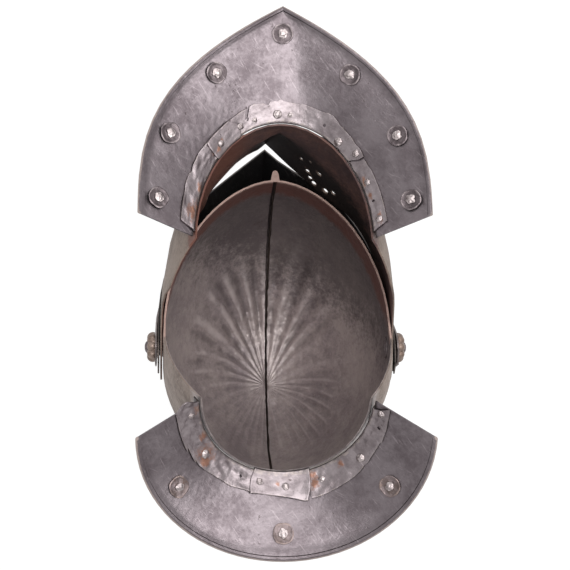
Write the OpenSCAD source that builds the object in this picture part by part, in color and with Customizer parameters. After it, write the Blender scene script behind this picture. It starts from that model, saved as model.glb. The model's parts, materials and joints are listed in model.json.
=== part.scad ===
// Close helmet with a one-piece combed skull, a bevor, a ventail and a visor that turn on one pair
// of pivots, and a front and a rear gorget plate riveted to turned neck bands.
// Millimetres. +Z is up as worn, -Y is the wearer's front and +X the wearer's left.
// The origin is the middle of the pivot axis. The face pieces are drawn closed and then lifted.

/* [Skull] */
// Thickness of the skull plate
skull_wall = 1.6; // [1.2:0.1:2.2]
// Half the outside width of the skull at the pivots
skull_half_w = 94; // [86:1:104]
// Radius of the skull from the pivot axis at the crown
crown_r = 147; // [138:1:152]
// Radius of the skull from the pivot axis at the back
back_r = 118; // [108:1:130]
// Distance of the brow edge in front of the pivots
brow_front = 130; // [122:1:136]
// Height of the brow edge above the pivots
brow_up = 59; // [50:1:66]
// Distance of the cheek edge in front of the pivots
cheek_front = 19; // [16:1:24]
// Depth of the cheek corner below the pivots
cheek_down = 12; // [6:1:18]
// Width of the comb
comb_w = 7.2; // [6:0.2:9]
// Height of the comb at the crown
comb_h = 15; // [8:1:16]

/* [Neck] */
// Half the outside width of the skull at the neck
neck_half_w = 65.5; // [60:0.5:67]
// Depth of the neck corner below the pivots
neck_down = 129; // [122:1:136]
// Distance of the nape behind the neck corner
nape_back = 71; // [64:1:78]
// Height of the nape above the neck corner
nape_rise = 26; // [18:1:32]
// Distance of the throat in front of the neck corner
throat_front = 99; // [92:1:106]
// Depth of the throat below the neck corner
throat_drop = 30; // [22:1:36]

/* [Face pieces] */
// Thickness of the bevor
bevor_wall = 1.5; // [1.2:0.1:2]
// Thickness of the ventail
ventail_wall = 1.3; // [1:0.1:1.8]
// Thickness of the visor
visor_wall = 1.3; // [1:0.1:1.8]
// Clear space between one face piece and the next at the pivots
layer_gap = 0.8; // [0.6:0.1:1.2]
// Reach of the prow beyond the crown, at the upper edge of the bevor
prow_past_crown = 36; // [32:1:42]
// Radius of the arm ends round the pivots
arm_r = 15; // [13:0.5:18]
// Diameter of the breath holes
breath_d = 3.8; // [2:0.2:4.4]
// Angle through which the bevor is swung open
bevor_open = 57.7; // [0:0.1:58]
// Further lift of the ventail over the bevor
ventail_lift = 14; // [0:0.1:38]
// Further lift of the visor over the ventail
visor_lift = 0; // [0:0.5:30]

/* [Pivots] */
// Diameter of the pivot rivets
pivot_d = 6; // [5:0.2:8]
// Radial running clearance of the moving pieces on the pivots
pivot_play = 0.1; // [0.05:0.01:0.15]
// Diameter of the rosettes
rosette_d = 25; // [22:0.5:30]
// Height of the rosettes
rosette_h = 7.4; // [6:0.2:9]
// Number of petals of a rosette
petals = 8; // [6:1:12]
// Diameter of the washers inside the skull
pivot_washer_d = 18; // [14:0.5:22]
// Thickness of the washers inside the skull
pivot_washer_t = 1.2; // [0.8:0.1:2]

/* [Gorget plates] */
// Thickness of the gorget plates
gorget_wall = 1.4; // [1:0.1:2]
// Radius of the rolled outer edge
roll_r = 2.2; // [1.6:0.1:3]
// Half the width of the gorget plates
gorget_half_w = 114; // [104:1:122]
// Distance of the front tip in front of the pivots
front_tip = 165; // [155:1:172]
// Depth of the front tip below the pivots
front_tip_down = 227; // [215:1:235]
// Distance of the rear rim behind the pivots
rear_rim = 128; // [118:1:136]
// Depth of the rear rim below the pivots
rear_rim_down = 141; // [136:1:150]
// Depth of the outer plate corners below the pivots
corner_down = 150; // [144:1:156]

/* [Neck bands] */
// Thickness of the neck bands
band_wall = 1.2; // [0.9:0.1:1.6]
// Width of the neck bands
band_w = 16; // [13:0.5:20]
// Height of the part of a neck band that stands against the neck
band_leg = 5; // [4:0.5:7]
// Clear space between touching plates
seat_gap = 0.3; // [0.2:0.05:0.5]

/* [Rivets] */
// Shank diameter of the gorget rivets
gorget_rivet_d = 4; // [3:0.2:5]
// Head diameter of the gorget rivets
gorget_head_d = 9; // [7:0.5:11]
// Diameter of the gorget washers
washer_d = 18; // [14:0.5:20]
// Thickness of the gorget washers
washer_t = 0.9; // [0.6:0.1:1.5]
// Shank diameter of the band rivets
band_rivet_d = 3; // [2.4:0.1:3.6]
// Head diameter of the band rivets
band_head_d = 7; // [5:0.5:9]

/* [Hidden] */
$fn = 40;
eps = 0.01;
// Exponents of the ellipse-like curves that the cross-sections of the skull and face pieces follow
skull_curve = 1.8;
face_curve = 2.15;
// Radius of the flat round each pivot
pivot_flat = 18;
// Distances of the flat washers below the curved rear and front plates they lie on
rear_washer_seat = 0.7;
front_washer_seat = 1.8;
// Distance of the flat rivet heads above the curved plates
head_seat = 0.3;
// Angle up to which the front end of the comb is solid
brow_nose = 29;

steel = [0.42, 0.39, 0.40];
steel_dark = [0.33, 0.30, 0.31];
steel_light = [0.56, 0.52, 0.52];
rust = [0.50, 0.36, 0.30];

// Half widths of the nested face pieces, from the skull outwards
bevor_half_w = skull_half_w + layer_gap + bevor_wall;
ventail_half_w = bevor_half_w + layer_gap + ventail_wall;
visor_half_w = ventail_half_w + layer_gap + visor_wall;
bevor_neck_half_w = neck_half_w + bevor_wall + 2;

// Driving points in the side view: distance forward of the pivots, height above them
brow = [brow_front, brow_up];
cheek = [cheek_front, -cheek_down];
neck = [2, -neck_down];
nape = neck + [-nape_back, nape_rise];
throat = neck + [throat_front, -throat_drop];
nape_r = norm(nape);
throat_r = norm(throat);
// Reach of the prow from the pivot axis, past the crown so that the lifted visor clears it
prow_reach = crown_r + prow_past_crown;

function unit(v) = v / norm(v);
function polar(r, angle) = [r * cos(angle), r * sin(angle)];
function angle_of(p) = atan2(p[1], p[0]);
// Angle counted from the brow over the crown to the nape
function back_angle(p) = angle_of(p) + (angle_of(p) < -40 ? 360 : 0);
// A point of the side view at a distance to the wearer's left
function place(x, p) = [x, -p[0], p[1]];

// Smooth curve through a list of [position, value] knots
function slope(k, i) =
  let (a = max(i - 1, 0), b = min(i + 1, len(k) - 1))
  (k[b][1] - k[a][1]) / (k[b][0] - k[a][0]);
function seg(k, t, i = 0) = i >= len(k) - 2 || t < k[i + 1][0] ? i : seg(k, t, i + 1);
function smooth(k, t) =
  let (c = min(max(t, k[0][0]), k[len(k) - 1][0]), i = seg(k, c))
  let (w = k[i + 1][0] - k[i][0], u = (c - k[i][0]) / w)
  (2 * pow(u, 3) - 3 * u * u + 1) * k[i][1] + (pow(u, 3) - 2 * u * u + u) * w * slope(k, i)
    + (3 * u * u - 2 * pow(u, 3)) * k[i + 1][1] + (pow(u, 3) - u * u) * w * slope(k, i + 1);

// Quadratic curve from a to c, drawn towards b
function bow(a, b, c, n = 8) =
  [for (i = [0:n]) let (t = i / n) (1 - t) * (1 - t) * a + 2 * t * (1 - t) * b + t * t * c];

// Share of its full radius that a section keeps at a share of its half width, or the reverse
function share(a, curve) = pow(max(0, 1 - pow(abs(a), curve)), 1 / curve);
// Full radius of the section that reaches radius r at a share a of its half width
function full_radius(r, a, curve) = pivot_flat + (r - pivot_flat) / share(a, curve);
// Radius at a share of the half width, with straight prow sides that run onto the ellipse
function prow_radius(r, reach, a) =
  let (e = r - pivot_flat, p = reach - pivot_flat)
  let (s = p > e ? 1 - pow(e / p, face_curve / (face_curve - 1)) : 0, a0 = pow(s, 1 / face_curve))
  let (side = p - (p - e * pow(1 - s, 1 / face_curve)) * abs(a) / a0)
  pivot_flat + (abs(a) >= a0 ? e * share(a, face_curve) : side);
// Share of the half width above a point of the side view, flat round the pivot
function width_share(r, p) = share(max(0, norm(p) - pivot_flat) / (r - pivot_flat), face_curve);

// Angle at which the side-view line through p and q meets the surface rho(angle), on q's side
function meet(p, q, rho, guess, n = 6) =
  let (d = unit(q - p), normal = [d[1], -d[0]], h = p * normal, foot = h * normal)
  let (side = sign(foot[0] * q[1] - foot[1] * q[0]), start = is_undef(guess) ? angle_of(q) : guess)
  let (next = angle_of(q) + side * (acos(min(1, abs(h) / rho(start))) - acos(abs(h) / norm(q))))
  n == 0 ? next : meet(p, q, rho, next, n - 1);

// Point of a plane ring through the neck corner, at an angle round it from its middle
function ring(reach, drop, s) = neck + [reach * cos(s), drop * cos(s)];

// Two triangles, or their backs
function quad(a, b, c, d, back = false) = back ? [[a, c, b], [a, d, c]] : [[a, b, c], [a, c, d]];

// Faces of the two sides of a plate of n rows of m points, and of its two long edges
function skin_faces(n, m) =
  let (o = n * m)
  concat(
    [for (i = [0:n - 2]) for (j = [0:m - 2]) let (a = i * m + j, b = a + m)
      each concat(quad(a, a + 1, b + 1, b), quad(o + a, o + a + 1, o + b + 1, o + b, true))],
    [for (i = [0:n - 2]) let (a = i * m, c = a + m - 1)
      each concat(quad(a, a + m, o + a + m, o + a), quad(c, c + m, o + c + m, o + c, true))]
  );

// Plate between two grids of points, each a list of equal rows
module plate(top, bottom) {
  n = len(top);
  m = len(top[0]);
  o = n * m;
  ends = [for (j = [0:m - 2]) let (b = o - m + j)
    each concat(quad(j, o + j, o + j + 1, j + 1), quad(b, b + 1, o + b + 1, o + b))];
  points = concat([for (r = top) each r], [for (r = bottom) each r]);
  polyhedron(points, concat(skin_faces(n, m), ends), convexity = 8);
}

// The same with its end rows closed by caps: rings of m points round a last point, on both sides
module capped_plate(top, bottom, top_caps, bottom_caps) {
  n = len(top);
  m = len(top[0]);
  o = n * m;
  caps = concat(top_caps, bottom_caps);
  size = len(caps[0]);
  k = (size - 1) / m;
  at = function(b, row, i, j) i == 0 ? row + j : 2 * o + b * size + (i - 1) * m + j;
  rows = [0, o - m, o, 2 * o - m];
  faces = [for (b = [0:3]) let (row = rows[b], back = b == 0 || b == 3) each concat(
    [for (i = [0:k - 1]) for (j = [0:m - 1]) let (j2 = (j + 1) % m)
      each quad(at(b, row, i, j), at(b, row, i, j2), at(b, row, i + 1, j2), at(b, row, i + 1, j), back)],
    [for (j = [0:m - 1]) let (a = at(b, row, k, j), c = at(b, row, k, (j + 1) % m), e = at(b, row, k + 1, 0))
      back ? [a, e, c] : [a, c, e]]
  )];
  notches = [for (b = [0, 1]) let (t = rows[b], u = rows[b + 2])
    each quad(t, t + m - 1, u + m - 1, u, b == 0)];
  points = concat([for (r = top) each r], [for (r = bottom) each r], [for (c = caps) each c]);
  polyhedron(points, concat(skin_faces(n, m), faces, notches), convexity = 8);
}

function mirrored(points) = [for (p = points) [-p[0], p[1], p[2]]];
// Rows of the wearer's left side, with their mirror images before them
function both_sides(rows) = concat([for (i = [len(rows) - 1:-1:1]) mirrored(rows[i])], rows);

module at_both_sides() {
  children();
  mirror([1, 0, 0]) children();
}

module swing(angle) {
  rotate([-angle, 0, 0]) children();
}

module pivot_bore(radius) {
  rotate([0, 90, 0]) cylinder(h = 4 * skull_half_w, r = radius, center = true);
}

// Skull

skull_knots = concat(
  [
    [-40, norm(brow) + 4],
    [angle_of(brow), norm(brow)],
    [58, crown_r - 1],
    [90, crown_r],
    [120, crown_r - 1],
    [150, (crown_r + back_r) / 2 + 2],
    [180, back_r],
    [205, back_r - 4],
    [224, (nape_r + back_r) / 2 - 6]
  ],
  [for (s = [0, 20, 40, 60, 80]) let (p = ring(-nape_back, nape_rise, s))
    [back_angle(p), full_radius(norm(p), neck_half_w * sin(s) / skull_half_w, skull_curve)]],
  [[270, full_radius(neck_down, neck_half_w / skull_half_w, skull_curve)], [320, norm(brow) + 4]]
);
comb_knots = [[15, 0.5], [30, 0.62], [60, 0.85], [95, 1], [130, 1], [170, 0.8], [226, 0.05]];
comb_section = [[0, 1], [0.5, 0.92], [0.8, 0.6], [1, 0]];

// Half width of the comb outside, or of the groove inside it
function comb_half(inset) = comb_w / 2 - (inset > 0 ? skull_wall : 0);
// Height of the comb above the skull at an angle and a distance from the middle
function comb_rise(t, x, inset) =
  let (s = abs(x) / comb_half(inset), from = inset > 0 ? brow_nose : 15)
  s >= 1 || t < from || t > 226 ? 0 : comb_h * smooth(comb_knots, t) * smooth(comb_section, s);
function skull_radius(t, x, inset) =
  pivot_flat + comb_rise(t, x, inset)
    + (smooth(skull_knots, t) - inset - pivot_flat) * share(x / (skull_half_w - inset), skull_curve);

// Columns of the skull beyond the comb: round the neck edge, then out to the flats
function skull_columns(inset) =
  let (w = skull_half_w - inset, n = neck_half_w - inset, end = share(n / w, skull_curve))
  concat(
    [for (s = [8:8:80]) n * sin(s)],
    [n],
    [for (c = [0.86, 0.72, 0.58, 0.45, 0.33, 0.22, 0.12]) w * share(c * end, skull_curve)]
  );
skull_rows = 36;

// First and last angle of the skull's plate at a distance from the middle
function skull_span(x, inset) =
  let (rho = function(t) skull_radius(t, x, inset), low = function(t) skull_radius(t + 360, x, inset))
  let (w = neck_half_w - inset)
  [meet(cheek, brow, rho),
    abs(x) < w ? back_angle(ring(-nape_back, nape_rise, asin(x / w))) : 360 + meet(cheek, neck, low)];
function steps(span) = [for (j = [0:skull_rows]) span[0] + (span[1] - span[0]) * j / skull_rows];
function skull_column(x, inset) =
  [for (t = steps(skull_span(x, inset))) place(x, polar(skull_radius(t, x, inset), t))];
function skull_grid(inset) = both_sides([
  for (x = concat([for (s = [0, 0.5, 0.8, 1]) s * comb_half(inset)], skull_columns(inset)))
    skull_column(x, inset)
]);
function skull_cap(inset) =
  let (w = skull_half_w - inset, columns = skull_columns(inset), x = columns[len(columns) - 1])
  concat([for (r = [1, 0.5]) for (t = steps(skull_span(x, inset))) place(w, polar(r * pivot_flat, t))],
    [[w, 0, 0]]);
function skull_caps(inset) = [mirrored(skull_cap(inset)), skull_cap(inset)];

module skull() {
  color(steel) difference() {
    capped_plate(skull_grid(0), skull_grid(skull_wall), skull_caps(0), skull_caps(skull_wall));
    pivot_bore(pivot_d / 2 + 0.05);
  }
}

// Face pieces

// A face piece is [half width, wall, radius knots, reach knots]
function piece_radius(f, t, a, inset) =
  prow_radius(smooth(f[2], t) - inset, smooth(f[3], t) - 1.35 * inset, a);
// Point of a face piece over a point of the side view
function over(f, p, inset) =
  place((f[0] - inset) * width_share(smooth(f[2], angle_of(p)) - inset, p), p);

// Middle columns of a face piece between the side-view lines low and high, each [arm end, front end]
function piece_column(f, low, high, a, inset, rows) =
  let (rho = function(t) piece_radius(f, t, a, inset))
  let (from = low(a, rho), to = high(a, rho))
  [for (j = [0:rows]) let (t = from + (to - from) * j / rows)
    place((f[0] - inset) * a, polar(rho(t), t))];
// Columns of an arm from pairs of side-view points on its lower and upper edges
function arm_columns(f, pairs, inset, rows) =
  [for (p = pairs) [for (j = [0:rows]) over(f, p[0] + (p[1] - p[0]) * j / rows, inset)]];

// Shares of the half width at the middle columns: round the neck edge, then out to the arms
piece_shares =
  let (n = bevor_neck_half_w / bevor_half_w)
  concat([0, 0.03], [for (s = [9:9:90]) n * sin(s)], [for (i = [1:5]) n + (0.92 - n) * i / 5]);

// Pairs of points that carry an arm from the last middle column to a rounded end behind the pivot
function arm_pairs(low, high, along, r, back, tip) =
  let (top = polar(r, along + 90), foot = polar(r, along - 90))
  let (run = polar(0.5 * norm(high), along))
  concat(
    [for (i = [1:5]) let (t = i / 5) [
      bow(low, foot + run, foot, 5)[i],
      bow(high, top + run, top, 5)[i]
    ]],
    [for (a = [25, 48, 68]) [
      foot * cos(a) - polar(back * sin(a), along),
      top * cos(a) - polar(back * sin(a), along)
    ]],
    [[foot * tip - polar(back, along), top * tip - polar(back, along)]]
  );

module face_piece(f, low, high, along, back, tip, rows) {
  last = piece_shares[len(piece_shares) - 1];
  grid = function(inset)
    let (rho = function(t) piece_radius(f, t, last, inset), a = low(last, rho), b = high(last, rho))
    both_sides(concat(
      [for (s = piece_shares) piece_column(f, low, high, s, inset, rows)],
      arm_columns(f, arm_pairs(polar(rho(a), a), polar(rho(b), b), along, arm_r, back, tip), inset, rows)
    ));
  difference() {
    plate(grid(0), grid(f[1]));
    pivot_bore(pivot_d / 2 + pivot_play);
  }
}

bevor_apex = polar(prow_reach, -26);
ventail_low_apex = polar(prow_reach + 4, -30.5);
ventail_apex = polar(prow_reach - 1, 1.5);
visor_low_apex = polar(prow_reach, 4.5);
visor_top_apex = polar(crown_r + 19, 38);

bevor_form = [
  bevor_half_w, bevor_wall,
  concat(
    [[-110, full_radius(neck_down, bevor_neck_half_w / bevor_half_w, face_curve) - 3]],
    [for (s = [90, 70, 50, 36, 24, 12, 0]) let (p = ring(throat_front, -throat_drop, s))
      [angle_of(p), full_radius(norm(p), bevor_neck_half_w * sin(s) / bevor_half_w, face_curve)]],
    [[-50, (throat_r + prow_reach) / 2 - 12.7], [-40, prow_reach - 24], [-26, prow_reach - 33],
      [30, prow_reach - 33]]
  ),
  concat(
    [for (s = [45, 0]) let (p = ring(throat_front, -throat_drop, s)) [angle_of(p), norm(p) - s / 20]],
    [[-50, (throat_r + prow_reach) / 2 - 5.7], [-40, prow_reach + 2], [-26, prow_reach]]
  )
];

function bevor_low(a, rho) =
  let (s = asin(min(1, a * bevor_half_w / bevor_neck_half_w)))
  a * bevor_half_w < bevor_neck_half_w ? angle_of(ring(throat_front, -throat_drop, s))
    : meet([-14, -40], neck + [1, 0], rho);
function bevor_high(a, rho) = meet([20, 3], bevor_apex, rho);

// Breath holes of the bevor: distance to the wearer's left, distance forward, height
breath_spots = [
  [22, 134, -89], [29, 125, -95], [29, 133, -77], [37, 122, -83], [32, 132, -70], [36, 131, -66],
  [45, 123, -64], [50, 116, -67], [-55, 114, -60]
];

module breaths() {
  wide = skull_half_w / 94;
  long = prow_reach / 183;
  for (b = breath_spots)
    translate([b[0] * wide, -b[1] * long, b[2] * long])
      rotate([0, 107, b[0] > 0 ? -44 : 224]) cylinder(h = 16, r = breath_d / 2, center = true);
}

module bevor() {
  color(steel_dark) swing(bevor_open) difference() {
    face_piece(bevor_form, function(a, r) bevor_low(a, r), function(a, r) bevor_high(a, r), -40, 27, 0.12, 9);
    breaths();
  }
}

ventail_form = [
  ventail_half_w, ventail_wall,
  [[-60, prow_reach - 16], [-38, prow_reach - 20], [-29, prow_reach - 27], [5, prow_reach - 31]],
  [[-60, prow_reach + 8], [-30.5, prow_reach + 4], [5, prow_reach - 1]]
];
function ventail_low(a, rho) = meet([20, -8], ventail_low_apex, rho);
function ventail_high(a, rho) = meet([20, 12], ventail_apex, rho);

module ventail() {
  color(steel) swing(bevor_open + ventail_lift)
    face_piece(ventail_form, function(a, r) ventail_low(a, r), function(a, r) ventail_high(a, r),
      -12, 23, 0.45, 7);
}

visor_form = [
  visor_half_w, visor_wall,
  [[-10, prow_reach - 26], [5, prow_reach - 28], [38, crown_r + 6.5], [60, crown_r + 6.5]],
  [[-10, prow_reach + 1], [5, prow_reach + 1], [38, crown_r + 21.5], [60, crown_r + 21.5]]
];
function visor_low(a, rho) = meet([20, -14], visor_low_apex, rho);
function visor_high(a, rho) = meet([0, 18], visor_top_apex, rho);

module visor() {
  color(steel) swing(bevor_open + ventail_lift + visor_lift)
    face_piece(visor_form, function(a, r) visor_low(a, r), function(a, r) visor_high(a, r), 18, 23, 0.5, 7);
}

// Places and fasteners on the gorget plates

// A point of a gorget plate is given by the angle s round it from its middle, the distance d from
// its inner edge and the distance n below its upper side

gorget_room = band_wall + seat_gap + 1;
front_corner = [neck[0] + 5, -corner_down - 2];
rear_corner = [neck[0] - 25, -corner_down + 1.5];

function gorget_inner(front, s) =
  let (side = front ? bevor_neck_half_w : neck_half_w, stand = front ? 2 : -2)
  let (reach = front ? throat_front + gorget_room - 2 : -nape_back - gorget_room + 2)
  let (drop = front ? -throat_drop : nape_rise)
  place((side + gorget_room) * sin(s), neck + [stand + reach * cos(s), drop * cos(s)]);
function gorget_outer(front, s) =
  let (corner = front ? front_corner : rear_corner, round = front ? [2, 0.7] : [1, 1])
  let (tip = front ? [front_tip, -front_tip_down] : [-rear_rim, -rear_rim_down])
  place(gorget_half_w * sign(s) * pow(abs(sin(s)), round[0]),
    corner + (tip - corner) * pow(max(0, cos(s)), round[1]));
function gorget_length(front, s) = norm(gorget_outer(front, s) - gorget_inner(front, s));
function gorget_out(front, s) = unit(gorget_outer(front, s) - gorget_inner(front, s));
function gorget_down(front, s) =
  let (along = gorget_inner(front, s + 1) - gorget_inner(front, s - 1))
  unit(cross(along, gorget_out(front, s))) * (front ? 1 : -1);
function gorget_point(front, s, d, n) =
  gorget_inner(front, s) + gorget_out(front, s) * d + gorget_down(front, s) * n;

// Strip along a gorget plate between two lists of [d, n] at each angle
module gorget_strip(front, angles, upper, under) {
  over = [for (s = angles) [for (q = upper(s)) gorget_point(front, s, q[0], q[1])]];
  below = [for (s = angles) [for (q = under(s)) gorget_point(front, s, q[0], q[1])]];
  plate(front ? below : over, front ? over : below);
}

// Set children on a gorget plate with their z axis pointing down through it
module on_gorget(front, s, d, n = 0) {
  along = gorget_point(front, s + 1, d, 0) - gorget_point(front, s - 1, d, 0);
  z = unit(cross(along, gorget_out(front, s))) * (front ? 1 : -1);
  translate(gorget_point(front, s, d, 0) + z * n)
    rotate([0, acos(z[2]), atan2(z[1], z[0])]) children();
}

// Rivet with a domed head above z = 0 and a clenched end below the grip
module rivet(shank_d, head_d, grip, end_d) {
  r = shank_d / 2;
  h = head_d / 2;
  e = end_d / 2;
  rotate_extrude() polygon([
    [0, -0.55 * h], [0.4 * h, -0.5 * h], [0.75 * h, -0.35 * h], [h, -0.08 * h], [h, 0], [r, 0],
    [r, grip], [e, grip], [0.85 * e, grip + 0.3 * e], [0.4 * e, grip + 0.5 * e], [0, grip + 0.52 * e]
  ]);
}

module hole(diameter, through = 12) {
  cylinder(h = 2 * through, r = diameter / 2, center = true);
}

// Gorget rivets: angle and share of the plate's length
front_gorget_spots = [
  [0, 0.76], [44, 0.75], [-44, 0.75], [69, 0.71], [-69, 0.71], [86.5, 0.65], [-86.5, 0.65]
];
rear_gorget_spots = [[0, 0.68], [56, 0.66], [-56, 0.66]];

// Band rivets: angle, distance from the inner edge, head diameter, number of bands below the plate
front_band_spots = [
  [-45, 8, 0.8, 2], [-30, 8, 0.7, 2], [-19, 6, 0.6, 1], [-3, 6, 1, 1], [6, 6, 0.6, 1],
  [40, 5.5, 1, 1], [53, 11, 0.8, 1], [66, 6, 0.7, 1], [84, 6, 0.8, 1]
];
rear_band_spots = [
  [-84, 7, 0.7, 1], [-56, 10, 1, 1], [-15, 8, 0.7, 2], [2, 10, 0.8, 2], [25, 9, 0.7, 1], [53, 11, 1, 1],
  [85, 7, 0.8, 1]
];
// Empty holes in the bands: angle, distance from the inner edge
front_band_holes = [[30, 10], [75, 5]];
rear_band_holes = [[-28, 8], [76, 9]];

function gorget_d(front, spot) = spot[1] * gorget_length(front, spot[0]);
function washer_seat(front) = gorget_wall + (front ? front_washer_seat : rear_washer_seat);

module gorget_rivets(front) {
  for (q = front ? front_gorget_spots : rear_gorget_spots)
    on_gorget(front, q[0], gorget_d(front, q), -head_seat)
      rivet(gorget_rivet_d, gorget_head_d, head_seat + washer_seat(front) + washer_t, gorget_rivet_d + 2.4);
}

module gorget_washers(front) {
  for (q = front ? front_gorget_spots : rear_gorget_spots)
    on_gorget(front, q[0], gorget_d(front, q), washer_seat(front) - 0.1)
      difference() {
        cylinder(h = washer_t, r = washer_d / 2);
        hole(gorget_rivet_d + 0.1);
      }
}

module band_rivets(front) {
  for (q = front ? front_band_spots : rear_band_spots) {
    grip = gorget_wall + q[3] * (band_wall + seat_gap) + head_seat;
    on_gorget(front, q[0], q[1], grip) mirror([0, 0, 1])
      rivet(band_rivet_d, max(band_rivet_d + 1.2, q[2] * band_head_d), grip + head_seat, band_rivet_d + 1.6);
  }
}

module gorget_holes(front) {
  for (q = front ? front_gorget_spots : rear_gorget_spots)
    on_gorget(front, q[0], gorget_d(front, q)) hole(gorget_rivet_d + 0.1);
}

module band_holes(front, from = -90, to = 90) {
  for (q = front ? front_band_spots : rear_band_spots)
    if (q[0] > from && q[0] < to) on_gorget(front, q[0], q[1]) hole(band_rivet_d + 0.1);
}

// Gorget plates

bead = roll_r - 0.3;

module gorget_plate(front) {
  end = function(s) gorget_length(front, s) - roll_r;
  difference() {
    gorget_strip(front, concat([-90, -88.7, -87.3], [for (s = [-85.5:4.5:85.5]) s], [87.3, 88.7, 90]),
      function(s) concat(
        [for (i = [0:4]) [(end(s) - 0.5 * roll_r) * i / 4, 0]],
        [for (b = [0, 30, 60, 85]) [end(s) + roll_r * sin(b), bead - roll_r * cos(b)]]
      ),
      function(s) concat(
        [for (i = [0:4]) [(end(s) - 1.2 * roll_r) * i / 4, gorget_wall]],
        [for (b = [262, 215, 165, 115]) [end(s) + roll_r * sin(b), bead - roll_r * cos(b)]]
      ));
    gorget_holes(front);
    band_holes(front);
  }
}

module rear_gorget_plate() {
  color(steel) gorget_plate(false);
}

module front_gorget_plate() {
  color(steel) swing(bevor_open) gorget_plate(true);
}

// Neck bands

band_top = gorget_wall + seat_gap;
patch_top = band_top + band_wall + seat_gap;
leg_face = -seat_gap - band_wall;

// Turned band from one angle to another, with its leg against the neck
module neck_band(front, from, to, holes) {
  n = ceil((to - from) / 5);
  difference() {
    gorget_strip(front, [for (i = [0:n]) from + (to - from) * i / n],
      function(s) [[-seat_gap, -band_leg], [-seat_gap, 0], [-seat_gap, band_top], [band_w, band_top]],
      function(s) [
        [leg_face, -band_leg], [leg_face, band_top + band_wall - 1.1],
        [leg_face + 1.1, band_top + band_wall], [band_w, band_top + band_wall]
      ]);
    band_holes(front, from, to);
    for (q = holes)
      if (q[0] > from && q[0] < to) on_gorget(front, q[0], q[1]) hole(band_rivet_d - 0.4);
  }
}

// Flat patch over two bands, with rounded ends
module neck_patch(front, from, to) {
  middle = band_w / 2 + 0.8;
  half = band_w / 2 + 0.4;
  wide = function(s) let (v = min(s - from, to - s) / 5)
    half * (v >= 1 ? 1 : max(0.4, sqrt(max(0, 1 - (1 - v) * (1 - v)))));
  difference() {
    gorget_strip(front, [for (v = [0, 0.03, 0.07, 0.13, 0.25, 0.4, 0.6, 0.75, 0.87, 0.93, 0.97, 1])
        from + (to - from) * v],
      function(s) [[middle - wide(s), patch_top], [middle + wide(s), patch_top]],
      function(s) [[middle - wide(s), patch_top + band_wall], [middle + wide(s), patch_top + band_wall]]);
    band_holes(front, from, to);
  }
}

module rear_neck_band_right() {
  color(steel_light) neck_band(false, -88, 14.8, rear_band_holes);
}

module rear_neck_band_left() {
  color(steel_light) neck_band(false, 16, 88, rear_band_holes);
}

module rear_neck_band_patch() {
  color(steel_light) neck_patch(false, -18, 14);
}

module front_neck_band_right() {
  color(steel_light) swing(bevor_open) neck_band(true, -87, -38, front_band_holes);
}

module front_neck_band_centre() {
  color(steel_light) swing(bevor_open) neck_band(true, -37, 48, front_band_holes);
}

module front_neck_band_left() {
  color(steel_light) swing(bevor_open) neck_band(true, 49, 87, front_band_holes);
}

module front_neck_band_patch() {
  color(steel_light) swing(bevor_open) neck_patch(true, -51, -25);
}

// Rivets and washers of the gorget plates

module rear_gorget_rivets() {
  color(steel_light) gorget_rivets(false);
}

module rear_gorget_washers() {
  color(rust) gorget_washers(false);
}

module front_gorget_rivets() {
  color(steel_light) swing(bevor_open) gorget_rivets(true);
}

module front_gorget_washers() {
  color(steel) swing(bevor_open) gorget_washers(true);
}

module rear_band_rivets() {
  color(steel_light) band_rivets(false);
}

module front_band_rivets() {
  color(steel_light) swing(bevor_open) band_rivets(true);
}

// Pivots

rosette_at = visor_half_w + seat_gap;
petal_r = 0.19 * rosette_d;
rosette_base = 0.3 * rosette_h;

// Set children at the wearer's left pivot with their z axis pointing outwards
module at_pivot(x) {
  translate([x, 0, 0]) rotate([0, 90, 0]) children();
}

module rosette() {
  at_pivot(rosette_at) difference() {
    union() {
      cylinder(h = rosette_base, r = rosette_d / 2 - 0.8);
      for (i = [0:petals - 1])
        rotate([0, 0, (i + 0.5) * 360 / petals])
          translate([rosette_d / 2 - petal_r, 0, rosette_base - 0.1 * petal_r]) sphere(r = petal_r);
      cylinder(h = 0.75 * rosette_h, r = pivot_d / 2 + 2.4);
    }
    translate([0, 0, -2 * rosette_d]) cylinder(h = 2 * rosette_d, r = rosette_d);
    hole(pivot_d + 0.1, rosette_d);
  }
}

module pivot_rivet() {
  head = pivot_d / 2 + 2.2;
  r = pivot_d / 2;
  out = rosette_at + 0.75 * rosette_h + 0.05;
  in = skull_half_w - skull_wall - pivot_washer_t - 0.1;
  at_pivot(0) rotate_extrude() polygon([
    [0, in - 0.5 * r], [0.6 * r, in - 0.48 * r], [1.2 * r, in - 0.2 * r], [1.35 * r, in], [r, in], [r, out],
    [head, out], [head, out + 0.12 * rosette_h], [0.75 * head, out + 0.28 * rosette_h],
    [0.4 * head, out + 0.38 * rosette_h], [0, out + 0.4 * rosette_h]
  ]);
}

module pivot_washer() {
  at_pivot(skull_half_w - skull_wall - pivot_washer_t - 0.05) difference() {
    cylinder(h = pivot_washer_t, r = pivot_washer_d / 2);
    hole(pivot_d + 0.1);
  }
}

module left_rosette() {
  color(rust) rosette();
}

module right_rosette() {
  color(rust) mirror([1, 0, 0]) rosette();
}

module left_pivot_rivet() {
  color(steel_light) pivot_rivet();
}

module right_pivot_rivet() {
  color(steel_light) mirror([1, 0, 0]) pivot_rivet();
}

module left_pivot_washer() {
  color(steel) pivot_washer();
}

module right_pivot_washer() {
  color(steel) mirror([1, 0, 0]) pivot_washer();
}

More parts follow.
